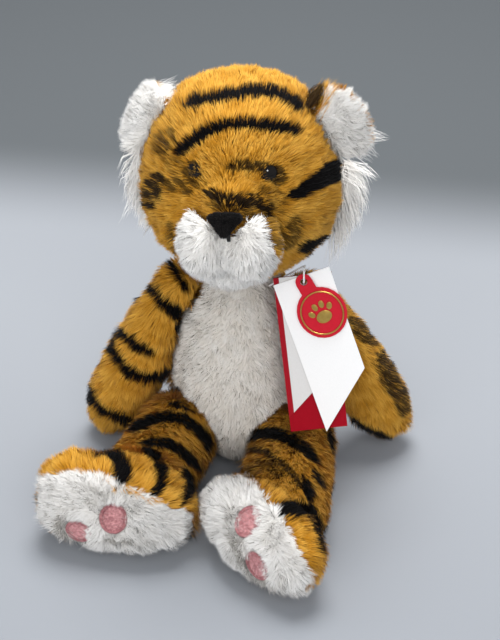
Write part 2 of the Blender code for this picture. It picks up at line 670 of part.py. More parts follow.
def make_arm(side_name, pose, shoulder, hip, looks):
    """The arm lies against the body and the thigh, and its shape is dented by both."""
    rooms = {}
    for kind, margin in MARGINS.items():
        body_room = finished(f"{side_name} arm body {kind}", body_shape(margin), cutter=True)
        socket = joint_ball_shape(Vector(), LEG_RADIUS + margin, X, SOCKET_SIDES)
        thigh = finished(f"{side_name} arm thigh {kind}", socket, hip, cutter=True)
        tube = leg_tube_shape(pose, margin, CORE_SIDES, CORE_RINGS)
        join(thigh, finished(f"{side_name} arm leg {kind}", tube, hip, cutter=True))
        rooms[kind] = (body_room, thigh)
    ball = finished(f"{side_name} shoulder ball", joint_ball_shape(Vector(), SHOULDER_BALL_RADIUS, Y),
                    shoulder, cutter=True)
    skin = finished(f"{side_name}_arm_skin", arm_shape(pose), shoulder, looks["orange"])
    cut(skin, *rooms["room"])
    join(skin, ball)
    inside = arm_shape(pose, -SKIN_WALL, CORE_SIDES, CORE_RINGS)
    hollow = finished(f"{side_name} arm hollow", inside, shoulder, cutter=True)
    cut(hollow, *rooms["wall"])
    seam = rod_shape(-pose["side"] * X * SHOULDER_BALL_RADIUS, arm_line(pose) * SHOULDER_BALL_RADIUS * 2,
                     ARM_SEAM_RADIUS)
    cut(skin, hollow, finished(f"{side_name} arm seam opening", seam, shoulder, cutter=True), FLOOR)
    core = arm_shape(pose, -SKIN_WALL - GAP, CORE_SIDES, CORE_RINGS)
    filling = finished(f"{side_name}_arm_stuffing", core, shoulder, looks["stuffing"])
    cut(filling, *rooms["core"])


def foot_frame(pose):
    """The foot's own frame: X from heel to toe, Y up, Z out of the sole."""
    side, turn, lift = pose["side"], math.radians(pose["sole_turn"]), math.radians(pose["sole_lift"])
    toe = Vector((side * math.cos(turn), -math.sin(turn), 0))
    level = Vector((-side * math.sin(turn), -math.cos(turn), 0))
    out = level * math.cos(lift) + Z * math.sin(lift)
    up = Z * math.cos(lift) - level * math.sin(lift)
    middle = leg_heading(pose) * LEG_LENGTH + level * FOOT_DEPTH * pose["forward_share"]
    middle += toe * FOOT_LENGTH * (MIDDLE_SHARE - pose["ankle_share"])
    return Matrix.Translation(middle) @ Matrix((toe, up, out)).transposed().to_4x4()


def foot_shape(pose, grow=0.0, sides=LIMB_SIDES, rings=LIMB_RINGS):
    half, heel = FOOT_LENGTH / 2, FOOT_HEIGHT * pose["heel_rise_share"]
    bm = soft_shape([Vector((-half, heel, 0)), Vector(), Vector((half, 0, 0))], FOOT_HEIGHT, FOOT_DEPTH,
                    FOOT_HEIGHT_SHARES, FOOT_DEPTH_SHARES, Y, FOOT_BLUNTNESS, sides, rings, grow)
    bmesh.ops.transform(bm, matrix=foot_frame(pose), verts=bm.verts)
    return bm


def make_leg(side_name, pose, hip, looks):
    """The leg and foot in one skin, closed in front by a bowl of white plush with two pads."""
    frame = foot_frame(pose)
    seam = FOOT_DEPTH / 2 - SOLE_DEPTH
    reach = FOOT_LENGTH

    def piece(name, bm, look=None):
        return finished(f"{side_name} {name}" if look is None else f"{side_name}_{name}", bm, hip,
                        look and looks[look], cutter=look is None)

    def in_front(name, start):
        return piece(name, box_shape((-reach, -reach, start), (reach, reach, reach), frame))

    hollow = piece("leg hollow", leg_tube_shape(pose, -SKIN_WALL, CORE_SIDES, CORE_RINGS))
    join(hollow, piece("foot hollow", foot_shape(pose, -SKIN_WALL, CORE_SIDES, CORE_RINGS)))
    skin = piece("leg_skin", leg_tube_shape(pose), "orange")
    join(skin, piece("hip ball", joint_ball_shape(Vector(), LEG_RADIUS, X)), piece("foot", foot_shape(pose)))
    cut(skin, hollow, in_front("sole side", seam - GAP), FLOOR)
    sole = piece("sole", foot_shape(pose), "white")
    keep(sole, in_front("leg side", seam))
    cut(sole, piece("sole hollow", foot_shape(pose, -SKIN_WALL, CORE_SIDES, CORE_RINGS)), FLOOR)
    inner_tube = leg_tube_shape(pose, -SKIN_WALL - GAP, CORE_SIDES, CORE_RINGS)
    filling = piece("leg_stuffing", inner_tube, "stuffing")
    join(filling, piece("foot filling", foot_shape(pose, -SKIN_WALL - GAP, CORE_SIDES, CORE_RINGS)))
    for pad_name, (along_share, up_share) in pose["pad_shares"].items():
        centre = Vector((FOOT_LENGTH * along_share, FOOT_HEIGHT * up_share, 0))

        def oval(margin):
            size = (PAD_SHORT + 2 * margin, PAD_LONG + 2 * margin)
            bm = bmesh.new()
            bmesh.ops.create_cone(bm, cap_ends=True, segments=DISC_SIDES, radius1=MIDDLE_SHARE,
                                  radius2=MIDDLE_SHARE, depth=1)
            matrix = frame @ Matrix.Translation(centre + Z * FOOT_DEPTH / 2)
            bmesh.ops.transform(bm, matrix=matrix @ Matrix.Diagonal((*size, FOOT_DEPTH, 1)), verts=bm.verts)
            return bm

        well = piece(f"{pad_name} well", oval(PAD_WELL_MARGIN))
        cut(well, piece(f"{pad_name} well floor", foot_shape(pose, -PAD_SINK - PAD_THICKNESS - GAP)))
        cut(sole, well)
        pad = piece(f"{pad_name}_pad", oval(0), "pad")
        keep(pad, piece(f"{pad_name} pad face", foot_shape(pose, -PAD_SINK)))
        cut(pad, piece(f"{pad_name} pad back", foot_shape(pose, -PAD_SINK - PAD_THICKNESS)))


# Tail

def make_tail(looks):
    carrier = pivot("tail_pivot", tail_place())
    drop = TAIL_ROOT_Z - TAIL_RADIUS + FLAT_CUT
    rows = zip(TAIL_REACH_SHARES, TAIL_CURL_SHARES, TAIL_DROP_SHARES)
    spine = [Vector((TAIL_CURL * curl, TAIL_REACH * reach, -drop * fall)) for reach, curl, fall in rows]
    form = soft_shape(spine, 2 * TAIL_RADIUS, 2 * TAIL_RADIUS, TAIL_GIRTH_SHARES, TAIL_GIRTH_SHARES, X,
                      TAIL_BLUNTNESS, TAIL_SIDES, TAIL_RINGS)
    tail = finished("tail", form, carrier, looks["orange"])
    join(tail, finished("tail ball", joint_ball_shape(Vector(), TAIL_BALL_RADIUS, Z), carrier, cutter=True))
    cut(tail, FLOOR)


# Swing tag, in the frame of its hole: X across, Y up, Z out of the printed face

def leaf(name, outline, hole_radius, thickness, carrier, look):
    """A flat leaf of card: its outline and its hole, as a filled curve made a mesh."""
    curve = bpy.data.curves.new(name, "CURVE")
    curve.dimensions = "2D"
    curve.fill_mode = "BOTH"
    curve.extrude = thickness / 2
    rims = [outline]
    if hole_radius:
        turns = (2 * math.pi * step / DISC_SIDES for step in range(DISC_SIDES))
        rims.append([(hole_radius * math.cos(turn), hole_radius * math.sin(turn)) for turn in turns])
    for rim in rims:
        spline = curve.splines.new("POLY")
        spline.points.add(len(rim) - 1)
        spline.use_cyclic_u = True
        for point, (across, up) in zip(spline.points, rim):
            point.co = (across, up, 0, 1)
    drawn = bpy.data.objects.new(name, curve)
    CUTTERS.objects.link(drawn)
    bpy.context.view_layer.update()
    graph = bpy.context.evaluated_depsgraph_get()
    mesh = bpy.data.meshes.new_from_object(drawn.evaluated_get(graph))
    bpy.data.objects.remove(drawn, do_unlink=True)
    bm = bmesh.new()
    bm.from_mesh(mesh)
    bmesh.ops.remove_doubles(bm, verts=bm.verts, dist=thickness / 4)
    card = finished(name, bm, carrier, look)
    card.data.set_sharp_from_angle(angle=math.pi / 4)
    return card


def card_outline(length, slant):
    """A card hung by its top, its foot cut aslant so that its left edge is the longest."""
    left, right = -CARD_EDGE_SIDE, CARD_WIDTH - CARD_EDGE_SIDE
    foot = CARD_TOP - length
    return [(left, CARD_TOP), (left, foot), (right, foot + slant), (right, CARD_TOP)]


def seal_outline():
    """An oval seal with a rounded tab at its top for the loop."""
    half_wide, half_high = SEAL_WIDTH / 2, SEAL_HEIGHT / 2
    join_turn = math.asin(SEAL_TAB_RADIUS / half_wide)
    oval = []
    for step in range(SEAL_SIDES + 1):
        turn = math.pi / 2 + join_turn + (2 * math.pi - 2 * join_turn) * step / SEAL_SIDES
        oval.append((half_wide * math.cos(turn), half_high * math.sin(turn) - SEAL_DROP))
    tab = [(SEAL_TAB_RADIUS * math.cos(turn), SEAL_TAB_RADIUS * math.sin(turn))
           for turn in (math.pi * step / TAB_SIDES for step in range(TAB_SIDES + 1))]
    return oval + tab


def make_tag(looks):
    place = Vector((TAG_HOLE_X, TAG_HOLE_Y, TAG_HOLE_Z))
    step = CARD_THICKNESS + GAP
    back = card_outline(BACK_CARD_LENGTH, 0.0)
    inner = card_outline(INNER_PAGE_LENGTH, INNER_PAGE_SLANT)
    front = card_outline(FRONT_CARD_LENGTH, FRONT_CARD_SLANT)
    leaves = (
        ("tag_back_card", back, BACK_CARD_FAN_DEG, 0, CARD_THICKNESS, "red card"),
        ("tag_inner_page", inner, BACK_CARD_FAN_DEG, 1, CARD_THICKNESS, "card"),
        ("tag_front_card", front, FRONT_CARD_FAN_DEG, 2, CARD_THICKNESS, "card"),
        ("tag_seal", seal_outline(), SEAL_FAN_DEG, SEAL_LAYERS_SHARE, SEAL_THICKNESS, "seal"),
    )
    for name, outline, fan_deg, layer, thickness, look in leaves:
        carrier = pivot(f"{name}_pivot", place)
        carrier.rotation_euler = (math.radians(90 - TAG_LEAN_DEG), 0, math.radians(TAG_YAW_DEG))
        card = leaf(name, outline, CARD_HOLE_RADIUS, thickness, carrier, looks[look])
        turn = Matrix.Translation((0, 0, step * layer)) @ Matrix.Rotation(math.radians(fan_deg), 4, "Z")
        card.data.transform(turn)
    make_loop(place, step, looks)


def loop_seam(spread_deg):
    """Where the loop is sewn on, against the neck's dome."""
    turn, rise = math.radians(LOOP_SEAM_TURN_DEG + spread_deg), math.radians(LOOP_SEAM_RISE_DEG)
    out = Vector((math.sin(turn) * math.cos(rise), -math.cos(turn) * math.cos(rise), math.sin(rise)))
    return Vector((0, 0, NECK_PIVOT_Z)) + out * (NECK_BALL_RADIUS + GAP + LOOP_RADIUS)


def make_loop(place, step, looks):
    """A thin nylon loop from the neck seam, through the holes and back over the cards' tops."""
    turn = Matrix.Rotation(math.radians(TAG_YAW_DEG), 4, "Z")
    turn = turn @ Matrix.Rotation(math.radians(90 - TAG_LEAN_DEG), 4, "X")
    frame = Matrix.Translation(place) @ turn
    seam, seam_beside = loop_seam(0.0), loop_seam(LOOP_SEAM_SPREAD_DEG)
    front = step * SEAL_LAYERS_SHARE + SEAL_THICKNESS + LOOP_BEND
    over = SEAL_TAB_RADIUS + LOOP_BEND
    points = [
        seam_beside,
        (seam_beside + frame @ Vector((0, 0, -LOOP_BEND * 2))) / 2,
        frame @ Vector((0, 0, -LOOP_BEND)),
        frame @ Vector((0, 0, front - LOOP_BEND)),
        frame @ Vector((0, LOOP_BEND / 2, front)),
        frame @ Vector((0, over, front / 2)),
        frame @ Vector((0, over, -LOOP_BEND)),
        (seam + frame @ Vector((0, over, -LOOP_BEND * 2))) / 2,
        seam,
    ]
    count = LOOP_SEGMENTS * (len(points) - 1)
    curve = bpy.data.curves.new("tag_loop", "CURVE")
    curve.dimensions = "3D"
    curve.bevel_depth = LOOP_RADIUS
    curve.bevel_resolution = LOOP_BEVEL_SEGMENTS
    curve.use_fill_caps = True
    spline = curve.splines.new("POLY")
    spline.points.add(count)
    for number, point in enumerate(spline.points):
        point.co = (*smooth_value(points, number / count), 1)
    curve.materials.append(looks["loop"])
    PARTS.objects.link(bpy.data.objects.new("tag_loop", curve))


# Main

def make_part():
    looks = {
        "orange": material("orange plush", (0.52, 0.25, 0.035), 0.95),
        "white": material("white plush", (0.86, 0.84, 0.80), 0.95),
        "stuffing": material("polyester stuffing", (0.90, 0.90, 0.88), 1.0),
        "pellets": material("pellet bag cloth", (0.75, 0.73, 0.68), 0.9),
        "eye": material("black eye plastic", (0.008, 0.007, 0.007), 0.08),
        "washer": material("washer plastic", (0.85, 0.85, 0.82), 0.5),
        "nose": material("black nose plush", (0.012, 0.010, 0.010), 0.9),
        "pad": material("pink embroidery", (0.55, 0.26, 0.27), 0.6),
        "card": material("white card", (0.88, 0.87, 0.84), 0.6),
        "red card": material("red card", (0.36, 0.004, 0.02), 0.45),
        "seal": material("red seal card", (0.55, 0.012, 0.03), 0.4),
        "loop": material("clear nylon", (0.8, 0.8, 0.8), 0.25),
    }
    neck = pivot("neck_pivot", Vector((0, 0, NECK_PIVOT_Z)), HEAD_TURN_DEG)
    hips = {name: pivot(f"{name}_hip_pivot", hip_place(pose)) for name, pose in POSES.items()}
    shoulders = {name: pivot(f"{name}_shoulder_pivot", shoulder_place(pose)) for name, pose in POSES.items()}
    make_body(hips, shoulders, looks)
    make_head(neck, looks)
    make_muzzle(neck, looks)
    make_nose(neck, looks)
    for name, pose in POSES.items():
        make_tuft(name, pose["side"], neck, looks)
        make_arm(name, pose, shoulders[name], hips[name], looks)
        make_leg(name, pose, hips[name], looks)
    make_tail(looks)
    make_tag(looks)


clear_scene()
PARTS = new_collection("plush_tiger")
CUTTERS = new_collection("cutters")
FLOOR = floor_cutter()
make_part()
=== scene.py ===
"""Sitting plush tiger: its pile, face, embroidered soles and swing tag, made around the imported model.

Metres, +Z up, and the toy faces -Y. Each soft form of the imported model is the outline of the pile,
so a cloth skin lies a pile's depth inside it, and the pile grows from the skin out to the form.
"""
import math

import bpy
import numpy as np
from mathutils import Euler, Matrix, Vector
from mathutils.bvhtree import BVHTree


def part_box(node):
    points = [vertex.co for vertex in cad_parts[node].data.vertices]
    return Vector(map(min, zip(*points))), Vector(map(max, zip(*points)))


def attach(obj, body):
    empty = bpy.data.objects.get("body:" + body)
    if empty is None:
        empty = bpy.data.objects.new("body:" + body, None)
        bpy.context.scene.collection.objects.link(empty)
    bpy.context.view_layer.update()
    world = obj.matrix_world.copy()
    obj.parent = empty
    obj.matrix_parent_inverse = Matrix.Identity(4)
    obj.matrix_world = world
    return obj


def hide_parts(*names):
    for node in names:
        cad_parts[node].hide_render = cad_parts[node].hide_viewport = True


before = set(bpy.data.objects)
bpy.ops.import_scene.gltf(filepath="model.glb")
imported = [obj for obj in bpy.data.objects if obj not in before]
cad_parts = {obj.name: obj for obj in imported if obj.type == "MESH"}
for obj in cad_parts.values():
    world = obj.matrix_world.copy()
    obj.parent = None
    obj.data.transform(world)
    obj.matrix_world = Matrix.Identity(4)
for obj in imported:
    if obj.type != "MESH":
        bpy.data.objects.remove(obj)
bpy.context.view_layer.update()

MM = 0.001

# The photograph's camera
CAMERA_PLACE = Vector((0.0812, -0.4932, 0.4187))
CAMERA_TURN = Euler((math.radians(55), 0, math.radians(9)))
PICTURE_WIDTH, PICTURE_HEIGHT = 500, 640
FOCAL_PIXELS = 1300
SENSOR_WIDTH = 36

BELLY_EDGE_Y = -0.01285
FLOOR_CLEARANCE = 0.0002

RIGHT, FRONT, UP = np.array((1.0, 0, 0)), np.array((0, -1.0, 0)), np.array((0, 0, 1.0))


# Materials

class Value:
    """A number in a material's nodes, so that its maths reads as an expression."""

    def __init__(self, look, socket):
        self.look, self.socket = look, socket

    def maths(self, operation, *terms, clamp=False):
        settings = {"operation": operation, "use_clamp": clamp}
        return self.look.node("Math", settings, dict(enumerate(terms)))

    def __add__(self, other):
        return self.maths("ADD", self, other)

    def __sub__(self, other):
        return self.maths("SUBTRACT", self, other)

    def __rsub__(self, other):
        return self.maths("SUBTRACT", other, self)

    def __mul__(self, other):
        return self.maths("MULTIPLY", self, other)

    __radd__, __rmul__ = __add__, __mul__

    def kept(self):
        """Held between 0 and 1."""
        return self.maths("ADD", self, 0, clamp=True)


class Look:
    """A named material: its shader's constants, and its other nodes from one method."""

    def __init__(self, name, **constants):
        self.material = bpy.data.materials.new(name)
        self.material.use_nodes = True
        self.tree = self.material.node_tree
        self.shader = self.tree.nodes["Principled BSDF"]
        for socket, value in constants.items():
            self.shader.inputs[socket.replace("_", " ")].default_value = value

    def node(self, kind, settings, sockets, output=0):
        made = self.tree.nodes.new(f"ShaderNode{kind}")
        for key, value in settings.items():
            setattr(made, key, value)
        for key, value in sockets.items():
            self.feed(made.inputs[key], value)
        return Value(self, made.outputs[output])

    def feed(self, socket, value):
        if isinstance(value, Value):
            self.tree.links.new(value.socket, socket)
        elif isinstance(value, tuple) and len(value) == 3 and socket.type == "RGBA":
            socket.default_value = (*value, 1.0)
        else:
            socket.default_value = value

    def attribute(self, name):
        return self.node("Attribute", {"attribute_name": name}, {}, "Fac")

    def blend(self, first, second, share):
        settings = {"data_type": "RGBA", "clamp_factor": True}
        return self.node("Mix", settings, {0: share, 6: first, 7: second}, 2)

    def noise(self, size, detail=2.0):
        place = self.node("TexCoord", {}, {}, "Object")
        place = self.node("VectorMath", {"operation": "MULTIPLY"}, {0: place, 1: (1 / size,) * 3})
        return self.node("TexNoise", {}, {"Vector": place, "Scale": 1.0, "Detail": detail}, "Fac")

    def bump(self, height, strength, distance):
        sockets = {"Height": height, "Strength": strength, "Distance": distance}
        self.feed(self.shader.inputs["Normal"], self.node("Bump", {}, sockets, "Normal"))

    def colour(self, value):
        self.feed(self.shader.inputs["Base Color"], value)
        return self


def mottled(name, dark, light, size, detail=2.0, **constants):
    """A plain material that varies between two colours."""
    look = Look(name, **constants)
    return look.colour(look.blend(dark, light, look.noise(size, detail)))


# The black of the print, on the pile and on the cloth under it
PILE_INK = (0.0020, 0.0015, 0.0015)
CLOTH_INK = (0.004, 0.003, 0.003)


def pile_look(name, root, middle, tip):
    """Pile that lightens from root to tip, strand by strand, with printed marks: the darker root is painted
    shade deep in the pile, and the paler tip is a painted highlight.
    """
    look = Look(name, Roughness=0.8, Sheen_Weight=0.05, Sheen_Roughness=0.5, Specular_IOR_Level=0.08)
    up, shade, print_share = look.attribute("tip"), look.attribute("shade"), look.attribute("print")
    lower = look.blend(root, middle, (up * 2.6 + shade * 0.6).kept())
    whole = look.blend(lower, tip, ((up - 0.35) * 1.1 + (shade - 0.5) * 0.9).kept())
    return look.colour(look.blend(whole, PILE_INK, print_share))


def cloth_look(name, colour, other):
    """The knitted backing under a pile, and the other cloth that it is sewn to."""
    look = Look(name, Roughness=0.95, Specular_IOR_Level=0.1)
    grain = look.noise(1.2 * MM)
    ground = look.blend(tuple(0.75 * c for c in colour), colour, grain)
    ground = look.blend(ground, other, look.attribute("other"))
    look.bump(grain, 0.4, 0.2 * MM)
    return look.colour(look.blend(ground, CLOTH_INK, look.attribute("print")))


def thread_look(name, dark, light):
    """Twisted satin thread with painted glints: noise lightens it in specks where it would catch the light.
    """
    look = Look(name, Roughness=0.45, Specular_IOR_Level=0.35, Sheen_Weight=0.2)
    look.bump(look.noise(0.5 * MM, 3.0), 0.3, 0.06 * MM)
    return look.colour(look.blend(dark, light, ((look.noise(1.1 * MM, 3.0) - 0.5) * 3.2 + 0.4).kept()))


LOOKS = {
    "pad": thread_look("pink_thread", (0.34, 0.125, 0.135), (0.66, 0.33, 0.33)),
    "pad border": thread_look("deep_pink_thread", (0.27, 0.085, 0.095), (0.50, 0.21, 0.215)),
    "black thread": thread_look("black_thread", (0.006, 0.005, 0.005), (0.02, 0.018, 0.018)),
    "gilding": mottled("gold_foil", (0.56, 0.33, 0.06), (0.83, 0.58, 0.17), 2 * MM, 3.0, Metallic=1.0,
                       Roughness=0.28),
    # Each pile's colours run root, middle, tip: the darker root is painted shade, the middle is the pile's
    # own colour, the paler tip is a painted highlight.
    "orange": pile_look("orange_pile", (0.23, 0.095, 0.007), (0.53, 0.235, 0.016), (0.85, 0.480, 0.080)),
    "white": pile_look("white_pile", (0.88, 0.85, 0.80), (0.95, 0.925, 0.885), (0.98, 0.965, 0.94)),
    # The sole's pile is a darker copy of the white pile: painted shade on the forward-facing soles, away from
    # the key light.
    "sole": pile_look("sole_pile", (0.80, 0.77, 0.73), (0.90, 0.875, 0.84), (0.95, 0.935, 0.91)),
    "belly": pile_look("belly_pile", (0.72, 0.645, 0.55), (0.88, 0.825, 0.75), (0.95, 0.92, 0.87)),
    "nose": pile_look("nose_velvet", (0.003, 0.003, 0.003), (0.008, 0.007, 0.007), (0.02, 0.018, 0.018)),
    "orange cloth": cloth_look("orange_cloth", (0.34, 0.155, 0.014), (0.82, 0.80, 0.77)),
    "white cloth": cloth_look("white_cloth", (0.82, 0.80, 0.77), (0.34, 0.155, 0.014)),
    "nose cloth": cloth_look("nose_cloth", (0.004, 0.004, 0.004), (0.004, 0.004, 0.004)),
}


# Working by hand

def select_only(*things):
    bpy.ops.object.select_all(action="DESELECT")
    for thing in things:
        thing.select_set(True)
    bpy.context.view_layer.objects.active = things[0]


def apply_modifier(thing, kind, **settings):
    select_only(thing)
    step = thing.modifiers.new(kind, kind)
    for key, value in settings.items():
        setattr(step, key, value)
    bpy.ops.object.modifier_apply(modifier=step.name)


def edit(thing, action):
    """Does one thing in edit mode with all of the piece selected."""
    select_only(thing)
    bpy.ops.object.mode_set(mode="EDIT")
    bpy.ops.mesh.select_all(action="SELECT")
    action()
    bpy.ops.object.mode_set(mode="OBJECT")


def loose_copy(name, nodes):
    """One mesh of copies of CAD nodes, its doubles merged."""
    copies = []
    for node in nodes:
        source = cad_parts[node]
        copy = bpy.data.objects.new(name, source.data.copy())
        bpy.context.collection.objects.link(copy)
        copies.append(copy)
    select_only(*copies)
    if len(copies) > 1:
        bpy.ops.object.join()
    piece = bpy.context.view_layer.objects.active
    piece.name = piece.data.name = name
    piece.data.materials.clear()
    for mapping in list(piece.data.uv_layers):
        piece.data.uv_layers.remove(mapping)
    edit(piece, lambda: bpy.ops.mesh.remove_doubles(threshold=0.01 * MM))
    return piece


CLOSING = 0.4 * MM


def make_skin(name, nodes, inset, voxel=1.4 * MM, smoothing=24):
    """The cloth under the pile: the nodes' outside as one smooth form, drawn in by the pile's depth."""
    skin = loose_copy(name, nodes)
    apply_modifier(skin, "DISPLACE", strength=CLOSING, mid_level=0.0)
    apply_modifier(skin, "REMESH", mode="VOXEL", voxel_size=voxel)
    edit(skin, lambda: bpy.ops.mesh.separate(type="LOOSE"))
    parts = list(bpy.context.selected_objects)
    parts.sort(key=lambda part: -part.dimensions.length)
    for spare in parts[1:]:
        bpy.data.objects.remove(spare, do_unlink=True)
    skin = parts[0]
    skin.name = skin.data.name = name
    apply_modifier(skin, "SMOOTH", factor=0.5, iterations=smoothing)
    apply_modifier(skin, "DISPLACE", strength=-inset - CLOSING, mid_level=0.0)
    apply_modifier(skin, "SMOOTH", factor=0.5, iterations=4)
    skin.data.shade_smooth()
    return skin


def split_skin(skin, front_name, point, normal):
    """Parts a skin at a plane into two closed pieces. The new one is on the normal's side."""
    front = skin.copy()
    front.data = skin.data.copy()
    front.name = front.data.name = front_name
    bpy.context.collection.objects.link(front)
    for piece, outer in ((skin, True), (front, False)):
        edit(piece, lambda: bpy.ops.mesh.bisect(plane_co=point, plane_no=normal, use_fill=True,
                                                clear_outer=outer, clear_inner=not outer))
        piece.data.shade_smooth()
    return front


# Numbers on many points at once

def unit(vectors):
    return vectors / np.maximum(np.linalg.norm(vectors, axis=-1, keepdims=True), 1e-12)


def dot(first, second):
    return np.sum(first * second, axis=-1, keepdims=True)


def ease(low, high, values):
    share = np.clip((values - low) / (high - low), 0, 1)
    return share * share * (3 - 2 * share)


RIPPLE_WAVES = 5
RIPPLE_HEIGHT = 2.6


def ripple(points, size, seed):
    """A smooth uneven value, about -1 to 1, that changes over the given size."""
    rng = np.random.default_rng(seed)
    total = 0
    for _ in range(RIPPLE_WAVES):
        way = unit(rng.normal(size=3)) * 2 * math.pi / size * rng.uniform(0.7, 1.5)
        total = total + np.sin(points @ way + rng.uniform(0, 2 * math.pi))
    return total / RIPPLE_HEIGHT


def ripples(points, size, seed):
    return np.stack([ripple(points, size, seed + step) for step in range(3)], axis=-1)


# What the photograph's camera sees

def pixel_ray(across, down):
    """The way from the camera through one pixel of the photograph's frame."""
    right, rise = across - PICTURE_WIDTH / 2, PICTURE_HEIGHT / 2 - down
    way = Vector((right / FOCAL_PIXELS, rise / FOCAL_PIXELS, -1))
    return (CAMERA_TURN.to_matrix() @ way).normalized()


def pixels_of(points):
    """Where in the photograph's frame its camera sees each point."""
    local = (points - np.array(CAMERA_PLACE)) @ np.array(CAMERA_TURN.to_matrix())
    flat = local[:, :2] * (-FOCAL_PIXELS / local[:, 2:]) * np.array((1, -1))
    return flat + np.array((PICTURE_WIDTH, PICTURE_HEIGHT)) / 2


def toward_camera(points, normals):
    """How squarely each point of a surface faces that camera, 1 at most."""
    return dot(normals, unit(np.array(CAMERA_PLACE) - points))[:, 0]


def inside(outline, points, seed):
    """Which points the camera sees inside an outline of pixels, whose edge wanders a little."""
    drift = np.stack([ripple(points, 7 * MM, seed + 70), ripple(points, 7 * MM, seed + 80)])
    across, down = pixels_of(points).T + drift
    crossed = np.zeros(len(points), bool)
    for (x, y), (next_x, next_y) in zip(outline, outline[1:] + outline[:1]):
        spans = (down < y) != (down < next_y)
        crossed ^= spans & (across < x + (down - y) * (next_x - x) / (next_y - y))
    return crossed


# Below this a surface is too nearly edge-on, or turned away, for a drawn edge to count on it
SEEN_ENOUGH = 0.05


def drawn_white(outline, points, normals, seed, elsewhere=True, near=True):
    """Where a cloth is white: as drawn where the camera sees it, and as given elsewhere."""
    seen = (toward_camera(points, normals) > SEEN_ENOUGH) & near
    return np.where(seen, inside(outline, points, seed), elsewhere)


class Print:
    """The black print on one body: stripes drawn in pixels where the camera sees it, bands elsewhere."""

    def __init__(self, strokes, bands=None, seed=1):
        self.bands, self.seed = bands, seed
        self.lines = [self.laid(*stroke) for stroke in strokes]

    def laid(self, widths, strength, pixels):
        """One stroke as close points, with half its width at each. It narrows towards its ends."""
        widths = widths if isinstance(widths, tuple) else (widths,) * len(pixels)
        steps = np.linspace(0, len(pixels) - 1, 5 * len(pixels) - 4)
        rows = np.array([(*pixel, width / 2) for pixel, width in zip(pixels, widths)])
        line = np.stack([np.interp(steps, np.arange(len(pixels)), rows[:, k]) for k in range(3)], axis=-1)
        ends = np.minimum(np.arange(len(line)), np.arange(len(line))[::-1]) / 3
        return line[:, :2], line[:, 2] * np.clip(0.45 + 0.55 * ends, 0, 1), strength

    def share(self, points, normals, random):
        """How black each strand is, from 0 to 1, and how much of that fades towards its tip."""
        places = pixels_of(points)
        edge = ripple(points, 3 * MM, self.seed) * 0.6 + (random - 0.5) * 2.2
        seen = toward_camera(points, normals) > 0.03 + (random - 0.5) * 0.12
        result, fade = np.zeros(len(points)), np.zeros(len(points))
        for line, halves, strength in self.lines:
            near = np.full(len(points), 99.0)
            for middle, half in zip(line, halves):
                near = np.minimum(near, np.hypot(*(places - middle).T) - half)
            drawn = ease(1.1, -0.6, near + edge) * seen
            if strength < 1:
                patchy = ripple(points, 4 * MM, self.seed + 9) * 0.4 + random
                drawn = drawn * ease(0.80 - strength, 1.15 - strength, patchy) * (0.6 + 0.4 * strength)
            fade = np.where(drawn > result, min(1.6 * (1 - strength), 0.9), fade)
            result = np.maximum(result, drawn)
        if self.bands is not None:
            band = self.bands(points) + edge * 0.07
            result = np.maximum(result, (band > 0.5) & ~seen)
        return result, fade


# The pile, strand by strand

def blades(name, lines, halves, across, normals, shade, ink, fade, look):
    """Flat tapered strands as one mesh. Each line has its points from root to tip."""
    count, length = lines.shape[:2]
    pairs = length - 1
    corner = np.empty((count, 2 * pairs + 1, 3))
    for step in range(pairs):
        offset = across * halves[:, step, None]
        corner[:, 2 * step] = lines[:, step] - offset
        corner[:, 2 * step + 1] = lines[:, step] + offset
    corner[:, -1] = lines[:, -1]
    corner[:, :, 2] = np.maximum(corner[:, :, 2], FLOOR_CLEARANCE)
    faces, starts, loops = [], [], 0
    for step in range(pairs - 1):
        faces += [2 * step, 2 * step + 1, 2 * step + 3, 2 * step + 2]
        starts.append(loops)
        loops += 4
    faces += [2 * pairs - 2, 2 * pairs - 1, 2 * pairs]
    starts.append(loops)
    loops += 3
    faces, starts = np.array(faces), np.array(starts)
    number = np.arange(count)[:, None]
    mesh = bpy.data.meshes.new(name)
    mesh.vertices.add(count * (2 * pairs + 1))
    mesh.loops.add(count * loops)
    mesh.polygons.add(count * len(starts))
    mesh.vertices.foreach_set("co", corner.astype(np.float32).ravel())
    mesh.loops.foreach_set("vertex_index", (faces + number * (2 * pairs + 1)).astype(np.int32).ravel())
    mesh.polygons.foreach_set("loop_start", (starts + number * loops).astype(np.int32).ravel())
    mesh.polygons.foreach_set("use_smooth", np.ones(count * len(starts), bool))
    mesh.update(calc_edges=True)
    side = int(math.ceil(math.sqrt(count)))
    row, column = np.divmod(np.arange(count), side)
    places = np.array([(0.15 + 0.7 * (k % 2), 0.08 + 0.84 * (k // 2) / pairs) for k in range(2 * pairs)]
                      + [(0.5, 0.92)])
    cells = (np.stack([column, row], axis=-1)[:, None, :] + places[faces][None, :, :]) / side
    mapping = mesh.uv_layers.new(name="OFBake")
    mapping.uv.foreach_set("vector", cells.astype(np.float32).ravel())
    rise = np.array([k // 2 / pairs for k in range(2 * pairs)] + [1.0])
    shares = {"tip": rise[None, :], "shade": shade[:, None],
              "print": ink[:, None] * (1 - fade[:, None] * rise[None, :])}
    for key, share in shares.items():
        share = np.broadcast_to(share, (count, 2 * pairs + 1)).astype(np.float32)
        mesh.attributes.new(key, "FLOAT", "POINT").data.foreach_set("value", share.ravel())
    facing = np.broadcast_to(normals[:, None, :], corner.shape).reshape(-1, 3)
    mesh.normals_split_custom_set_from_vertices(facing)
    mesh.materials.append(look.material)
    piece = bpy.data.objects.new(name, mesh)
    bpy.context.collection.objects.link(piece)
    return piece


def vertex_rows(mesh, key):
    rows = np.empty(len(mesh.vertices) * 3)
    mesh.vertices.foreach_get(key, rows)
    return rows.reshape(-1, 3)


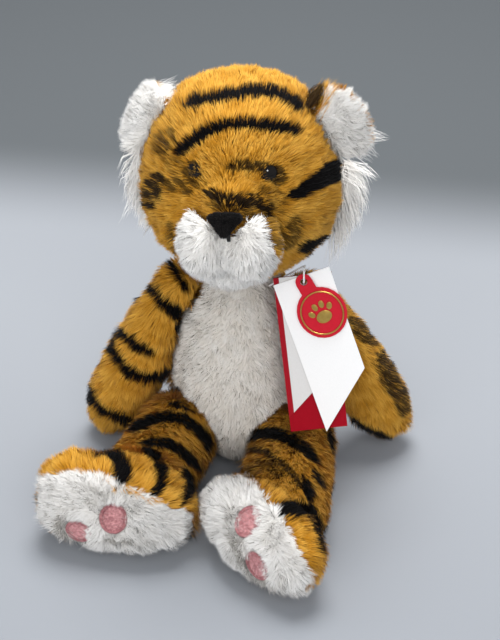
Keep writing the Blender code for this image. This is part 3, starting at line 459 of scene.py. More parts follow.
def surface(skin):
    """A skin's triangles: their corners' places and normals, and their areas."""
    mesh = skin.data
    mesh.calc_loop_triangles()
    triangles = np.empty(len(mesh.loop_triangles) * 3, np.int32)
    mesh.loop_triangles.foreach_get("vertices", triangles)
    triangles = triangles.reshape(-1, 3)
    corners, facing = vertex_rows(mesh, "co")[triangles], vertex_rows(mesh, "normal")[triangles]
    areas = np.linalg.norm(np.cross(corners[:, 1] - corners[:, 0], corners[:, 2] - corners[:, 0]), axis=1) / 2
    return corners, facing, areas


def scattered(skin, per_mm2, rng):
    """Evenly strewn points on a skin, with its normals there."""
    corners, facing, areas = surface(skin)
    reach = np.cumsum(areas)
    count = int(reach[-1] / MM ** 2 * per_mm2)
    picks = np.searchsorted(reach, (np.arange(count) + rng.random(count)) / count * reach[-1])
    picks = np.minimum(picks, len(areas) - 1)
    first, second = np.sqrt(rng.random(count))[:, None], rng.random(count)[:, None]
    shares = (1 - first, first * (1 - second), first * second)
    points = sum(corners[picks, k] * shares[k] for k in range(3))
    normals = unit(sum(facing[picks, k] * shares[k] for k in range(3)))
    order = rng.permutation(count)
    return points[order], normals[order]


def gathered(roots, tips, size, strength, seed):
    """Draws the tips of the strands of each little tuft together."""
    warped = roots + ripples(roots, size * 3.1, seed) * size * 0.6
    cells = np.floor(warped / size).astype(np.int64)
    codes = (cells[:, 0] * 73856093) ^ (cells[:, 1] * 19349663) ^ (cells[:, 2] * 83492791)
    _, which, counts = np.unique(codes, return_inverse=True, return_counts=True)
    middle = np.stack([np.bincount(which, tips[:, k]) for k in range(3)], axis=-1) / counts[:, None]
    return tips + (middle[which] - tips) * strength


# How much the pile droops, how uneven its lengths are, and how many of its strands the far sides keep
DROOP = 0.08
UNEVEN = 0.3
HIDDEN_SHARE = 0.7
SHORTEST = 0.4 * MM
ROOT_DEPTH = 0.2 * MM


def grow(name, skin, body, look, length, flow, per_mm2=4.5, width=0.30, lean=0.48, frizz=0.20, wave=0.25,
         bend=0.30, tuft=1.9, tuft_share=0.34, lock=6.0, lock_share=0.16, seed=1, printed=None, trim=None,
         pieces=1):
    """Grows a pile out of a skin. Lengths and widths are in millimetres.

    The sides that face away from the camera get a smaller share of strands, which are wider.
    """
    rng = np.random.default_rng(seed)
    roots, normals = scattered(skin, per_mm2, rng)
    facing = toward_camera(roots, normals)
    kept = rng.random(len(roots)) < HIDDEN_SHARE + (1 - HIDDEN_SHARE) * ease(-0.35, 0.0, facing)
    roots, normals, facing = roots[kept], normals[kept], facing[kept]
    reach = np.full(len(roots), length * MM)
    if trim is not None:
        reach = reach * trim(roots, normals)
        kept = reach > SHORTEST
        roots, normals, reach, facing = roots[kept], normals[kept], reach[kept], facing[kept]
    if len(roots) == 0:
        return
    reach = reach * (1 + 0.16 * ripple(roots, 9 * MM, seed + 3))
    reach = reach * (1 - UNEVEN * rng.random(len(roots)) ** 1.5)
    grain = flow(roots) + ripples(roots, 13 * MM, seed + 5) * wave
    grain = unit(grain - normals * dot(grain, normals))
    way = normals * (1 - lean) + grain * lean + ripples(roots, 4 * MM, seed + 8) * frizz * 0.8
    way = unit(way + rng.normal(size=roots.shape) * frizz * 0.5)
    middle = roots + way * reach[:, None] * 0.5
    turned = unit(way + grain * bend - UP * DROOP)
    tips = middle + turned * reach[:, None] * 0.5
    for size, share, step in ((lock, lock_share, 20), (tuft, tuft_share, 30)):
        if share > 0:
            tips = gathered(roots, tips, size * MM, share, seed + step)
            middle = gathered(roots, middle, size * MM, share * 0.3, seed + step)
    across = unit(np.cross(turned, normals + rng.normal(size=roots.shape) * 0.45))
    face = unit(normals * 0.75 + unit(np.cross(across, turned)) * 0.15 + rng.normal(size=roots.shape) * 0.24)
    halves = np.stack([np.full(len(roots), 0.5), np.full(len(roots), 0.42)], axis=-1) * width * MM
    halves = halves * (0.8 + 0.4 * rng.random((len(roots), 1)))
    halves = halves * (1 + 0.3 * ease(0.0, -0.35, facing))[:, None]
    random = rng.random(len(roots))
    shade = np.clip(0.5 + 0.28 * ripple(roots, 8 * MM, seed + 40) + 0.5 * (random - 0.5), 0, 1)
    ink = fade = np.zeros(len(roots))
    if printed is not None:
        ink, fade = printed.share(middle + (tips - middle) * 0.3, normals, rng.random(len(roots)))
    lines = np.stack([roots - normals * ROOT_DEPTH, middle, tips], axis=1)
    for number, part in enumerate(np.array_split(np.arange(len(roots)), pieces)):
        label = f"{name}_{number + 1}" if pieces > 1 else name
        piece = blades(label, lines[part], halves[part], across[part], face[part], shade[part], ink[part],
                       fade[part], LOOKS[look])
        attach(piece, body)


def wide_point(across, down, depth_y):
    """Where the photograph's pixel meets the upright plane at that depth."""
    way = pixel_ray(across, down)
    return np.array(CAMERA_PLACE + way * ((depth_y - CAMERA_PLACE.y) / way.y))


LOCK_DEPTH_SPREAD = 2.5
LOCK_POINTS = 5


def draw_locks(name, body, look, guides, seed, width=0.17, spread=1.6, ink=0.0):
    """Long loose hair, drawn as guides of pixels from root to tip: (how many, depth in mm, pixels)."""
    rng = np.random.default_rng(seed)
    scatter = np.array((spread, LOCK_DEPTH_SPREAD, spread))
    along_share = np.linspace(0, 1, LOCK_POINTS)[None, :, None]
    lines = []
    for count, depth, pixels in guides:
        guide = np.array([wide_point(*pixel, depth * MM) for pixel in pixels])
        shares = np.linspace(0, 1, LOCK_POINTS) * (len(guide) - 1)
        rows = np.stack([np.interp(shares, np.arange(len(guide)), guide[:, k]) for k in range(3)], axis=-1)
        loose = rng.normal(size=(count, 3)) * scatter * MM
        drift = rng.normal(size=(count, 3)) * scatter * MM * 1.3
        arch = np.sin(np.linspace(0, math.pi, LOCK_POINTS))[None, :, None]
        sway = arch * rng.normal(size=(count, 1, 3)) * 0.9 * MM
        reach = rng.uniform(0.72, 1.0, (count, 1, 1))
        strands = rows[0] + (rows[None] - rows[0]) * reach
        strands = strands + loose[:, None] * (1 - 0.55 * along_share) + drift[:, None] * along_share * 0.5
        lines.append(strands + sway)
    lines = np.concatenate(lines)
    count = len(lines)
    ways = unit(lines[:, -1] - lines[:, 0])
    facing = unit(np.array(CAMERA_PLACE) - lines[:, 0]) + rng.normal(size=(count, 3)) * 0.35
    across = unit(np.cross(ways, facing))
    halves = np.array((0.5, 0.5, 0.42, 0.3))[None, :] * width * MM * rng.uniform(0.7, 1.2, (count, 1))
    face = unit(facing * 0.6 + UP * 0.5 + rng.normal(size=(count, 3)) * 0.15)
    piece = blades(name, lines, halves, across, face, rng.random(count), np.full(count, ink),
                   np.zeros(count), LOOKS[look])
    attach(piece, body)


def sew(name, lines, thickness, look, body, *replaced):
    """Threads along lines of points, thin at both ends, as one mesh."""
    curve = bpy.data.curves.new(name, "CURVE")
    curve.dimensions = "3D"
    curve.bevel_depth = thickness / 2
    curve.bevel_resolution = 1
    for line in lines:
        spline = curve.splines.new("POLY")
        spline.points.add(len(line) - 1)
        for number, point in enumerate(line):
            spline.points[number].co = (*point, 1)
            spline.points[number].radius = 0.45 if number in (0, len(line) - 1) else 1.0
    thread = bpy.data.objects.new(name, curve)
    bpy.context.collection.objects.link(thread)
    select_only(thread)
    bpy.ops.object.convert(target="MESH")
    thread = bpy.context.active_object
    thread.name = thread.data.name = name
    thread.data.shade_smooth()
    thread.data.materials.clear()
    thread.data.materials.append(LOOKS[look].material)
    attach(thread, body)
    if replaced:
        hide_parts(*replaced)


def dye_skin(skin, printed, inset, other):
    """Prints the cloth under the pile as the pile over it."""
    mesh = skin.data
    places, normals = vertex_rows(mesh, "co"), vertex_rows(mesh, "normal")
    ink = np.zeros(len(places))
    if printed is not None:
        ink, _ = printed.share(places + normals * inset, normals, np.full(len(places), 0.5))
    mesh.attributes.new("print", "FLOAT", "POINT").data.foreach_set("value", ink.astype(np.float32))
    if other is not None:
        share = other(places, normals).astype(np.float32)
        mesh.attributes.new("other", "FLOAT", "POINT").data.foreach_set("value", share)


def dress(skin, body, look, node, printed=None, inset=0.0, other=None):
    """Finishes a cloth. Where other is 1, it is the other of the two cloths, orange or white."""
    skin.data.materials.append(LOOKS[look].material)
    dye_skin(skin, printed, inset, other)
    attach(skin, body)
    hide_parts(node)


def away(point):
    return lambda points: unit(points - np.array(point))


def along(*way):
    return lambda points: np.broadcast_to(unit(np.array(way)), points.shape)


# Head

def head_bands(p):
    wave = p[:, 2] + 0.35 * np.abs(p[:, 0]) + ripple(p, 50 * MM, 4) * 2 * MM
    return np.cos(2 * math.pi * wave / (19 * MM)) * ease(-0.7, 0.1, ripple(p, 30 * MM, 6))


# The weaker strokes round the eyes and over the bridge are partly the print's dark mottling and partly
# painted shade of the eye hollows under the brow.
HEAD_INK = Print([
    (13, 1, [(184, 105), (199, 100), (220, 96), (234, 94), (249, 91), (263, 91), (274, 92), (284, 96),
             (295, 103), (301, 109)]),
    (12.5, 1, [(175, 153), (182, 147), (191, 140), (200, 134), (213, 128), (227, 123), (245, 122), (263, 124),
               (277, 126), (290, 128), (300, 131)]),
    (18, 0.80, [(171, 130), (163, 143), (158, 152)]),
    ((8, 11, 11, 11, 13, 13), 0.92, [(226, 168), (236, 165), (248, 165), (260, 166), (272, 169), (284, 171)]),
    (13, 0.9, [(266, 173), (277, 180), (286, 175)]),
    ((13, 17, 18, 14), 0.86, [(193, 163), (190, 172), (187, 184), (184, 192)]),
    (17, 0.62, [(164, 158), (176, 166), (190, 176), (204, 184)]),
    ((9, 13, 15, 15, 14, 13, 10), 0.98, [(205, 191), (216, 195), (229, 199), (243, 199), (256, 201),
                                         (266, 207), (272, 216)]),
    (26, 0.80, [(212, 203), (240, 208), (268, 212)]),
    (20, 0.64, [(262, 190), (276, 198), (284, 210)]),
    ((14, 19, 20, 14, 9), 0.97, [(160, 176), (155, 184), (152, 193), (149, 201), (148, 207)]),
    (14, 0.84, [(160, 186), (176, 183), (192, 186)]),
    ((9, 13, 16, 19, 22, 23), 1, [(289, 196), (301, 192), (312, 185), (323, 178), (333, 172), (342, 170)]),
    ((9, 12, 13, 13), 1, [(299, 251), (309, 246), (320, 243), (330, 240)]),
    ((14, 20, 18, 12), 0.85, [(280, 247), (288, 238), (295, 228), (296, 217)]),
    (20, 0.74, [(266, 214), (274, 230), (272, 246)]),
    (9, 0.85, [(169, 224), (171, 238), (176, 252)]),
    (7, 0.8, [(277, 275), (292, 272)]),
], bands=head_bands)

NOSE_TOP = (0.0024, -0.0580, 0.1570)
EYES = {"left": ((0.01705, -0.0379, 0.16873), (0.40854, -0.80916, 0.42232)),
        "right": ((-0.01368, -0.03924, 0.16873), (-0.33646, -0.84169, 0.42232))}
EYE_RADIUS = 4.75 * MM
EYE_RISE = 3.6 * MM
EYE_SINK = 3.1 * MM
EYE_CLEAR = {"left": 2.5 * MM, "right": 0.9 * MM}


def head_trim(points, normals):
    """Shorter pile on the bridge and round the eyes, none in front of them or under the muzzle."""
    length = np.ones(len(points))
    face = ease(0.055, 0.020, np.linalg.norm(points - np.array(NOSE_TOP), axis=1))
    length *= 1 - 0.45 * face
    for side, (place, out) in EYES.items():
        apart = points - np.array(place)
        level = np.linalg.norm(apart - np.array(out) * dot(apart, np.array(out)), axis=1)
        length *= 1 - 0.30 * ease(13 * MM, 4 * MM, level)
        length *= np.where(level < EYE_CLEAR[side], 0, 1)
    return length


# How deep the cloth lies under the outline of the head's, body's and arms' pile
PILE_DEPTH = 3.4 * MM


def make_head():
    inset = PILE_DEPTH
    skin = make_skin("head_cloth", ("head_skin", "head_stuffing", "left_eye", "right_eye", "left_eye_washer",
                                    "right_eye_washer"), inset)
    dress(skin, "head", "orange cloth", "head_skin", HEAD_INK, inset)
    grow("head_pile", skin, "head", "orange", 7.2, lambda p: away(NOSE_TOP)(p) + 0.25 * UP,
         per_mm2=6.4, width=0.28, seed=11, printed=HEAD_INK, trim=head_trim, pieces=2)


MUZZLE_OUTLINE = [(172, 228), (178, 217), (188, 211), (197, 210), (240, 209), (252, 217), (257, 224),
                  (265, 242), (276, 263), (280, 300), (160, 301), (165, 240)]


def make_muzzle():
    skin = make_skin("muzzle_cloth", ("muzzle",), 2.6 * MM, voxel=0.9 * MM, smoothing=16)

    def white(points, normals):
        return drawn_white(MUZZLE_OUTLINE, points, normals, 21)

    dress(skin, "head", "white cloth", "muzzle", other=lambda p, n: ~white(p, n))
    grow("muzzle_pile", skin, "head", "white", 5.6, lambda p: away(NOSE_TOP)(p) - 0.25 * UP,
         per_mm2=12.0, width=0.22, lean=0.42, frizz=0.34, seed=21, tuft=1.7, tuft_share=0.24,
         lock_share=0.10,
         trim=lambda p, n: muzzle_trim(p, n) * white(p, n))
    grow("muzzle_edge_pile", skin, "head", "orange", 6.4, lambda p: away(NOSE_TOP)(p) + 0.1 * UP,
         per_mm2=8.0, width=0.26, seed=22, printed=HEAD_INK,
         trim=lambda p, n: 1.0 * ~white(p, n))


def muzzle_trim(points, normals):
    """Shorter pile close to the nose and in the cleft below it."""
    near = np.linalg.norm((points - np.array((0.0024, -0.0620, 0.1560))) * np.array((0.75, 1, 1)), axis=1)
    line = np.array(philtrum_lines()[1])
    cleft = np.linalg.norm(points[:, None, :] - line[None, :, :], axis=-1).min(axis=1)
    return (0.65 + 0.35 * ease(4 * MM, 11 * MM, near)) * (0.5 + 0.5 * ease(1.5 * MM, 4 * MM, cleft))


def make_nose():
    skin = make_skin("nose_cloth_form", ("nose",), 0.9 * MM, voxel=0.45 * MM, smoothing=6)
    low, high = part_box("nose")
    middle = (low[0] + high[0]) / 2
    for vertex in skin.data.vertices:
        rise = (vertex.co.z - low[2]) / (high[2] - low[2])
        vertex.co.x = middle + (vertex.co.x - middle) * (0.42 + 0.60 * rise)
    dress(skin, "head", "nose cloth", "nose")
    grow("nose_pile", skin, "head", "nose", 1.5, away(NOSE_TOP), per_mm2=22, width=0.16, lean=0.3,
         frizz=0.3, seed=31, tuft_share=0.2, lock_share=0, tuft=1.0)


def philtrum_lines():
    """Three lines down the muzzle's front, from the nose's lower corner."""
    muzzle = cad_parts["muzzle"].data
    tree = BVHTree.FromPolygons([v.co for v in muzzle.vertices], [p.vertices for p in muzzle.polygons])
    lines = []
    for across in (226.2, 227.4, 228.6):
        line = []
        for down in (230, 234, 238, 242):
            pixel = across + (down - 230) * 0.12, down
            place = tree.ray_cast(CAMERA_PLACE, pixel_ray(*pixel))[0]
            place = place or tree.find_nearest(wide_point(*pixel, -63 * MM))[0]
            line.append(place - pixel_ray(*pixel) * 0.2 * MM)
        lines.append(line)
    return lines


def make_philtrum():
    """Short black stitches below the nose, between the muzzle's lobes."""
    sew("philtrum_stitches", philtrum_lines(), 0.8 * MM, "black thread", "head")


def make_eyes():
    gloss = mottled("eye_plastic", (0.004, 0.003, 0.003), (0.010, 0.008, 0.007), 2 * MM, Roughness=0.06,
                    Specular_IOR_Level=0.25)
    for side, (place, out) in EYES.items():
        bpy.ops.object.select_all(action="DESELECT")
        bpy.ops.mesh.primitive_uv_sphere_add(segments=40, ring_count=24, radius=EYE_RADIUS)
        eye = bpy.context.active_object
        eye.name = eye.data.name = f"{side}_eye_button"
        edit(eye, lambda: bpy.ops.transform.resize(value=(1, 1, EYE_RISE / EYE_RADIUS)))
        edit(eye, lambda: bpy.ops.mesh.bisect(plane_co=(0, 0, 0), plane_no=(0, 0, 1), clear_inner=True,
                                              use_fill=True))
        turn = Vector(out).to_track_quat("Z", "Y").to_matrix().to_4x4()
        eye.data.transform(Matrix.Translation(Vector(place) - Vector(out) * EYE_SINK) @ turn)
        for face in eye.data.polygons:
            face.use_smooth = len(face.vertices) < 5
        eye.data.materials.append(gloss.material)
        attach(eye, "head")
        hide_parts(f"{side}_eye")


# Ears

EARS = {"left": ((0.03755, -0.00637, 0.17418), (0.82365, 0.17527, 0.53934), (0.54412, 0.02376, -0.83867)),
        "right": ((-0.03845, -0.00969, 0.17153), (-0.57233, 0.76377, 0.29848),
                  (-0.48435, -0.02115, -0.87462))}
EAR_REACH = 24 * MM

# How far each ear's cloth is drawn in under its pile, as a share of its reach
EAR_DRAWN_IN = {"left": 0.18, "right": 0.22}
EAR_OUTLINES = {"left": [(341, 60), (420, 61), (421, 190), (300, 191), (301, 128), (316, 116), (326, 95)],
                "right": [(100, 50), (179, 51), (182, 96), (150, 190), (101, 191)]}
EAR_STROKES = {"left": [(11, 0.85, [(308, 96), (316, 87), (325, 79)])], "right": []}


def make_ear(side):
    place, out, down = (np.array(v) for v in EARS[side])
    forward = np.cross(out, down)
    forward = forward if forward @ FRONT > 0 else -forward
    back = make_skin(f"{side}_ear_back_cloth", (f"{side}_ear_front", f"{side}_ear_back"), 1.9 * MM,
                     voxel=0.8 * MM, smoothing=14)
    for vertex in back.data.vertices:
        vertex.co -= Vector(out) * EAR_DRAWN_IN[side] * max((np.array(vertex.co) - place) @ out, 0)
    front = split_skin(back, f"{side}_ear_front_cloth", place, forward)
    ear = f"{side}_ear"
    dress(back, ear, "orange cloth", f"{side}_ear_back")
    seed = 41 + len(side)

    def white(points, normals):
        return drawn_white(EAR_OUTLINES[side], points, normals, seed)

    dress(front, ear, "white cloth", f"{side}_ear_front",
          other=lambda p, n: ~white(p, n))
    ink = Print(EAR_STROKES[side], bands=lambda p: ripple(p, 20 * MM, 3) * 0.9)

    def outward(points):
        return unit(points - (place - out * 12 * MM))

    def outer(points, normals):
        """The rim's pile is shorter on the far side from the head."""
        return 1 - 0.35 * ease(0.45 * EAR_REACH, EAR_REACH, (points - place) @ out)

    grow(f"{side}_ear_front_pile", front, ear, "white", 6.4, outward, per_mm2=13, width=0.19,
         lean=0.40, frizz=0.42, wave=0.4, seed=seed, tuft=1.5, tuft_share=0.3,
         trim=lambda p, n: outer(p, n) * (n @ forward > -0.35) * white(p, n))
    grow(f"{side}_ear_edge_pile", front, ear, "orange", 6.2, outward, per_mm2=9, width=0.24, lean=0.45,
         frizz=0.3, seed=seed + 1, printed=ink,
         trim=lambda p, n: (n @ forward > -0.35) * ~white(p, n) * 1.0)
    grow(f"{side}_ear_back_pile", back, ear, "orange", 5.2, outward, per_mm2=7, lean=0.55, frizz=0.22,
         seed=seed + 10, trim=lambda p, n: (n @ forward < 0.35) * 1.0, printed=ink)


# Body

def body_bands(p):
    wave = p[:, 2] - 0.42 * np.abs(p[:, 0]) + ripple(p, 45 * MM, 14) * 2.5 * MM
    return np.cos(2 * math.pi * wave / 0.023) * ease(-0.8, -0.1, ripple(p, 34 * MM, 16) + 0.3)


BELLY_OUTLINE = [(189, 240), (188, 283), (185, 312), (178, 345), (172, 375), (176, 396), (198, 415),
                 (213, 432), (220, 470), (262, 471), (285, 425), (300, 380), (302, 300), (274, 281),
                 (273, 241)]


def make_body():
    inset = PILE_DEPTH
    back = make_skin("body_back_cloth", ("body_skin", "belly_panel", "body_stuffing", "pellet_bag"), inset)
    belly = split_skin(back, "belly_cloth", (0, BELLY_EDGE_Y, 0), (0, -1, 0))
    ink = Print([], bands=body_bands, seed=12)

    def white(points, normals, cloth_is_white):
        """The belly's white shows where it is drawn, and near the seam also on the orange cloth."""
        near = points[:, 1] < BELLY_EDGE_Y + 14 * MM
        return drawn_white(BELLY_OUTLINE, points, normals, 61, cloth_is_white, near)

    dress(back, "torso", "orange cloth", "body_skin", ink, inset,
          other=lambda p, n: white(p, n, False))
    dress(belly, "torso", "white cloth", "belly_panel",
          other=lambda p, n: ~white(p, n, True))

    def outer(points, normals):
        return (np.abs(points[:, 1] - BELLY_EDGE_Y) > 0.3 * MM) * 1.0

    def flank(points, normals):
        """Longer pile on the right flank, which closes up to the arm."""
        near = ease(-20 * MM, -26 * MM, points[:, 0]) * ease(12 * MM, -4 * MM, points[:, 1])
        return outer(points, normals) * (1 + 0.7 * near * ease(25 * MM, 40 * MM, points[:, 2]))

    grow("back_pile", back, "torso", "orange", 7.4, along(0, 0.1, -1), per_mm2=4.6, seed=61,
         printed=ink, trim=lambda p, n: flank(p, n) * ~white(p, n, False), pieces=2)
    grow("flank_pile", belly, "torso", "orange", 7.0, along(0, 0, -1), per_mm2=5.6, seed=63,
         trim=lambda p, n: outer(p, n) * ~white(p, n, True))

    def belly_flow(points):
        return unit(np.stack([points[:, 0] * 10, points[:, 0] * 0, -np.ones(len(points))], axis=-1))

    for name, cloth, is_white in (("belly_pile", belly, True), ("belly_edge_pile", back, False)):
        grow(name, cloth, "torso", "belly", 5.2, belly_flow, per_mm2=12.4, width=0.20, lean=0.36,
             frizz=0.46, wave=0.5, tuft=1.8, tuft_share=0.16, lock_share=0.08, seed=71,
             trim=lambda p, n: outer(p, n) * white(p, n, is_white))


# Arms

ARM_LINES = {"left": ((0.029, -0.003, 0.0885), (0.48976, 0.10396, -0.86564)),
             "right": ((-0.029, -0.003, 0.0885), (-0.42992, -0.05234, -0.90135))}
ARM_STROKES = {
    "right": [
        (9, 1, [(168, 260), (174, 272), (181, 283), (189, 292)]),
        ((9, 10, 11, 13, 14), 1, [(147, 282), (154, 294), (163, 304), (174, 311), (182, 318)]),
        (10.5, 1, [(116, 329), (127, 338), (138, 347), (155, 354)]),
        (11, 1, [(113, 333), (110, 346), (118, 360), (130, 373), (145, 379), (159, 377), (176, 370)]),
        (10, 1, [(89, 384), (92, 399), (103, 411), (118, 417), (136, 422)]),
        (8, 0.9, [(164, 384), (171, 399)]),
    ],
    "left": [
        (8, 1, [(328, 264), (336, 277)]),
        (13, 0.7, [(342, 285), (356, 300), (371, 316)]),
        ((15, 20, 18), 0.92, [(350, 320), (363, 331), (377, 342)]),
        ((12, 17, 19, 18, 16, 12), 0.95, [(384, 347), (385, 362), (388, 377), (397, 390), (403, 402),
                                          (402, 414)]),
        (26, 0.5, [(386, 372), (398, 398)]),
        ((11, 13, 13, 11), 1, [(343, 414), (357, 427), (374, 435), (393, 440)]),
    ],
}


def ring_bands(place, way, pitch, seed, slant=0.25):
    """Rings round a limb, uneven and broken here and there."""
    place, way = np.array(place), np.array(way)

    def bands(points):
        reach = (points - place) @ way + slant * np.abs(points[:, 1] - place[1])
        reach = reach + ripple(points, 40 * MM, seed) * 2 * MM
        broken = ease(-0.9, -0.2, ripple(points, 28 * MM, seed + 2) + 0.25)
        return np.cos(2 * math.pi * reach / pitch) * broken

    return bands


def make_arm(side):
    place, way = ARM_LINES[side]
    inset = PILE_DEPTH
    seed = {"left": 81, "right": 91}[side]
    ink = Print(ARM_STROKES[side], bands=ring_bands(place, way, 21 * MM, seed), seed=seed)
    skin = make_skin(f"{side}_arm_cloth", (f"{side}_arm_skin", f"{side}_arm_stuffing"), inset)
    dress(skin, f"{side}_arm", "orange cloth", f"{side}_arm_skin", ink, inset)
    grow(f"{side}_arm_pile", skin, f"{side}_arm", "orange", 7.6, along(*way), per_mm2=5.6,
         width=0.28, seed=seed, printed=ink)


# Legs, soles and pads

FEET = {
    "left": {"seam": (0.01954, -0.09284, 0.02159), "out": (-0.58752, -0.72553, 0.35837),
             "toe": (0.77715, -0.62932, 0.0), "up": (0.22553, 0.2785, 0.93358)},
    "right": {"seam": (-0.04638, -0.08871, 0.02126), "out": (0.0, -0.9563, 0.29237),
              "toe": (-1.0, 0.0, 0.0), "up": (0.0, 0.29237, 0.9563)},
}
SOLE_OUTLINES = {
    "right": [(20, 487), (37, 482), (46, 478), (76, 475), (93, 476), (108, 481), (123, 488), (140, 494),
              (160, 504), (177, 511), (200, 522), (201, 600), (21, 601)],
    "left": [(190, 490), (201, 479), (211, 472), (223, 470), (237, 475), (251, 487), (264, 500), (275, 513),
             (285, 529), (295, 549), (306, 573), (312, 610), (191, 611)],
}

# The fold of fur over each pad: which way it runs, in radians, and half of how wide it lies open
PAD_FOLDS = {("right", "upper"): (0.0, 9 * MM), ("right", "lower"): (0.68, 1.9 * MM),
             ("left", "upper"): (0.8, 4.9 * MM), ("left", "lower"): (1.05, 2.6 * MM)}

# How far each pad is nudged in the fur towards its place in the photograph, along the foot and up it
PAD_NUDGES = {("right", "lower"): (-1.6, 1.4), ("left", "lower"): (-1.6, 1.2),
              ("left", "upper"): (-1.6, 0.2), ("right", "upper"): (0, 1.0)}
PAD_LONG = 13.4 * MM
PAD_SHORT = 11.6 * MM
PAD_DEPTH = 0.9 * MM
STITCH_PITCH = 0.38 * MM
STITCH_THICKNESS = 0.44 * MM
BORDER_STITCHES = 84
PAD_DOME = 0.55 * MM
PAD_SINK = 0.25 * MM

# How each stitch of the border runs over it, in millimetres: outwards from the rim, and up
BORDER_STITCH = ((-1.3, 0.1), (-0.7, 0.42), (0.0, 0.38), (0.5, -0.4))
LEG_STROKES = {
    "right": [
        ((6, 8, 13, 18, 17, 12), 1, [(92, 455), (106, 452), (116, 456), (122, 465), (124, 475), (118, 487)]),
        ((10, 12, 12, 11, 10), 1, [(144, 449), (155, 457), (161, 468), (163, 482), (155, 495)]),
        ((9, 11, 11, 9), 1, [(184, 468), (189, 479), (188, 490), (183, 506)]),
        ((7, 10, 11, 11, 11, 10), 1, [(141, 443), (155, 442), (168, 443), (179, 449), (189, 458),
                                      (200, 469)]),
        (11, 1, [(125, 428), (138, 426), (150, 420), (167, 416), (184, 419), (198, 429), (207, 440),
                 (209, 451)]),
        (7, 1, [(169, 404), (181, 405), (194, 412)]),
    ],
    "left": [
        ((13, 16, 15, 14, 11, 9, 7), 1, [(270, 503), (280, 509), (294, 508), (308, 510), (316, 520),
                                         (321, 537), (323, 552)]),
        ((8, 11, 13, 13, 12, 10), 1, [(247, 439), (257, 434), (273, 433), (289, 438), (304, 447),
                                      (319, 463)]),
        (7, 0.95, [(243, 450), (258, 450), (273, 456), (285, 465), (296, 478), (303, 488)]),
        (14, 0.68, [(247, 476), (257, 466), (270, 466), (284, 476)]),
        (9, 1, [(314, 471), (324, 486)]),
        (10, 1, [(303, 478), (310, 490), (311, 503)]),
        (10, 1, [(328, 426), (334, 452)]),
        (9, 0.9, [(206, 468), (216, 460)]),
    ],
}


def pad_frame(side, which):
    """A pad's middle on its outer face, the way it faces, and its short and long axes."""
    points = np.array([v.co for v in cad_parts[f"{side}_{which}_pad"].data.vertices])
    middle = (points.max(axis=0) + points.min(axis=0)) / 2
    up, _, out = np.linalg.svd(points - middle)[2]
    out = out if out @ FRONT > 0 else -out
    up = up if up @ UP > 0 else -up
    along_foot, along_up = PAD_NUDGES[side, which]
    middle = middle + out * (((points - middle) @ out).max() - PAD_DEPTH)
    middle = middle + (np.array(FEET[side]["toe"]) * along_foot + up * along_up) * MM
    return middle, out, np.cross(up, out), up


def make_pad(side, which, seed):
    """Satin stitches across the oval, and a raised border of short stitches round it."""
    middle, out, right, up = pad_frame(side, which)
    rng = np.random.default_rng(seed)
    height, width = PAD_LONG / 2, PAD_SHORT / 2
    lines = []
    rows = int(2 * height / STITCH_PITCH)
    for row in range(1, rows):
        rise = -height + 2 * height * row / rows
        half = width * math.sqrt(1 - (rise / height) ** 2)
        line = []
        for share in (-1, -0.5, 0, 0.5, 1):
            dome = PAD_DOME * (1 - (rise / height) ** 2) * (1 - share ** 2)
            wander = rng.normal() * 0.04 * MM
            line.append(middle + right * half * share + up * (rise + wander) + out * (dome - PAD_SINK))
        lines.append(line)
    pad, leg = f"{side}_{which}_pad", f"{side}_leg"
    sew(f"{pad}_stitching", lines, STITCH_THICKNESS, "pad", leg, pad)
    lines = []
    for turn in range(BORDER_STITCHES):
        angle = 2 * math.pi * (turn + rng.uniform(-0.2, 0.2)) / BORDER_STITCHES
        across = right * math.cos(angle) * width + up * math.sin(angle) * height
        outward = unit(across)
        lines.append([middle + across + outward * reach * MM + out * lift * MM
                      for reach, lift in BORDER_STITCH])
    sew(f"{pad}_border", lines, STITCH_THICKNESS, "pad border", leg)


# How much fuller the cloth is on top of each foot, and on its side by the other foot
CREST_RISE = {"left": 1.5 * MM, "right": 7 * MM}
INNER_RISE = {"left": 1.2 * MM, "right": 4 * MM}


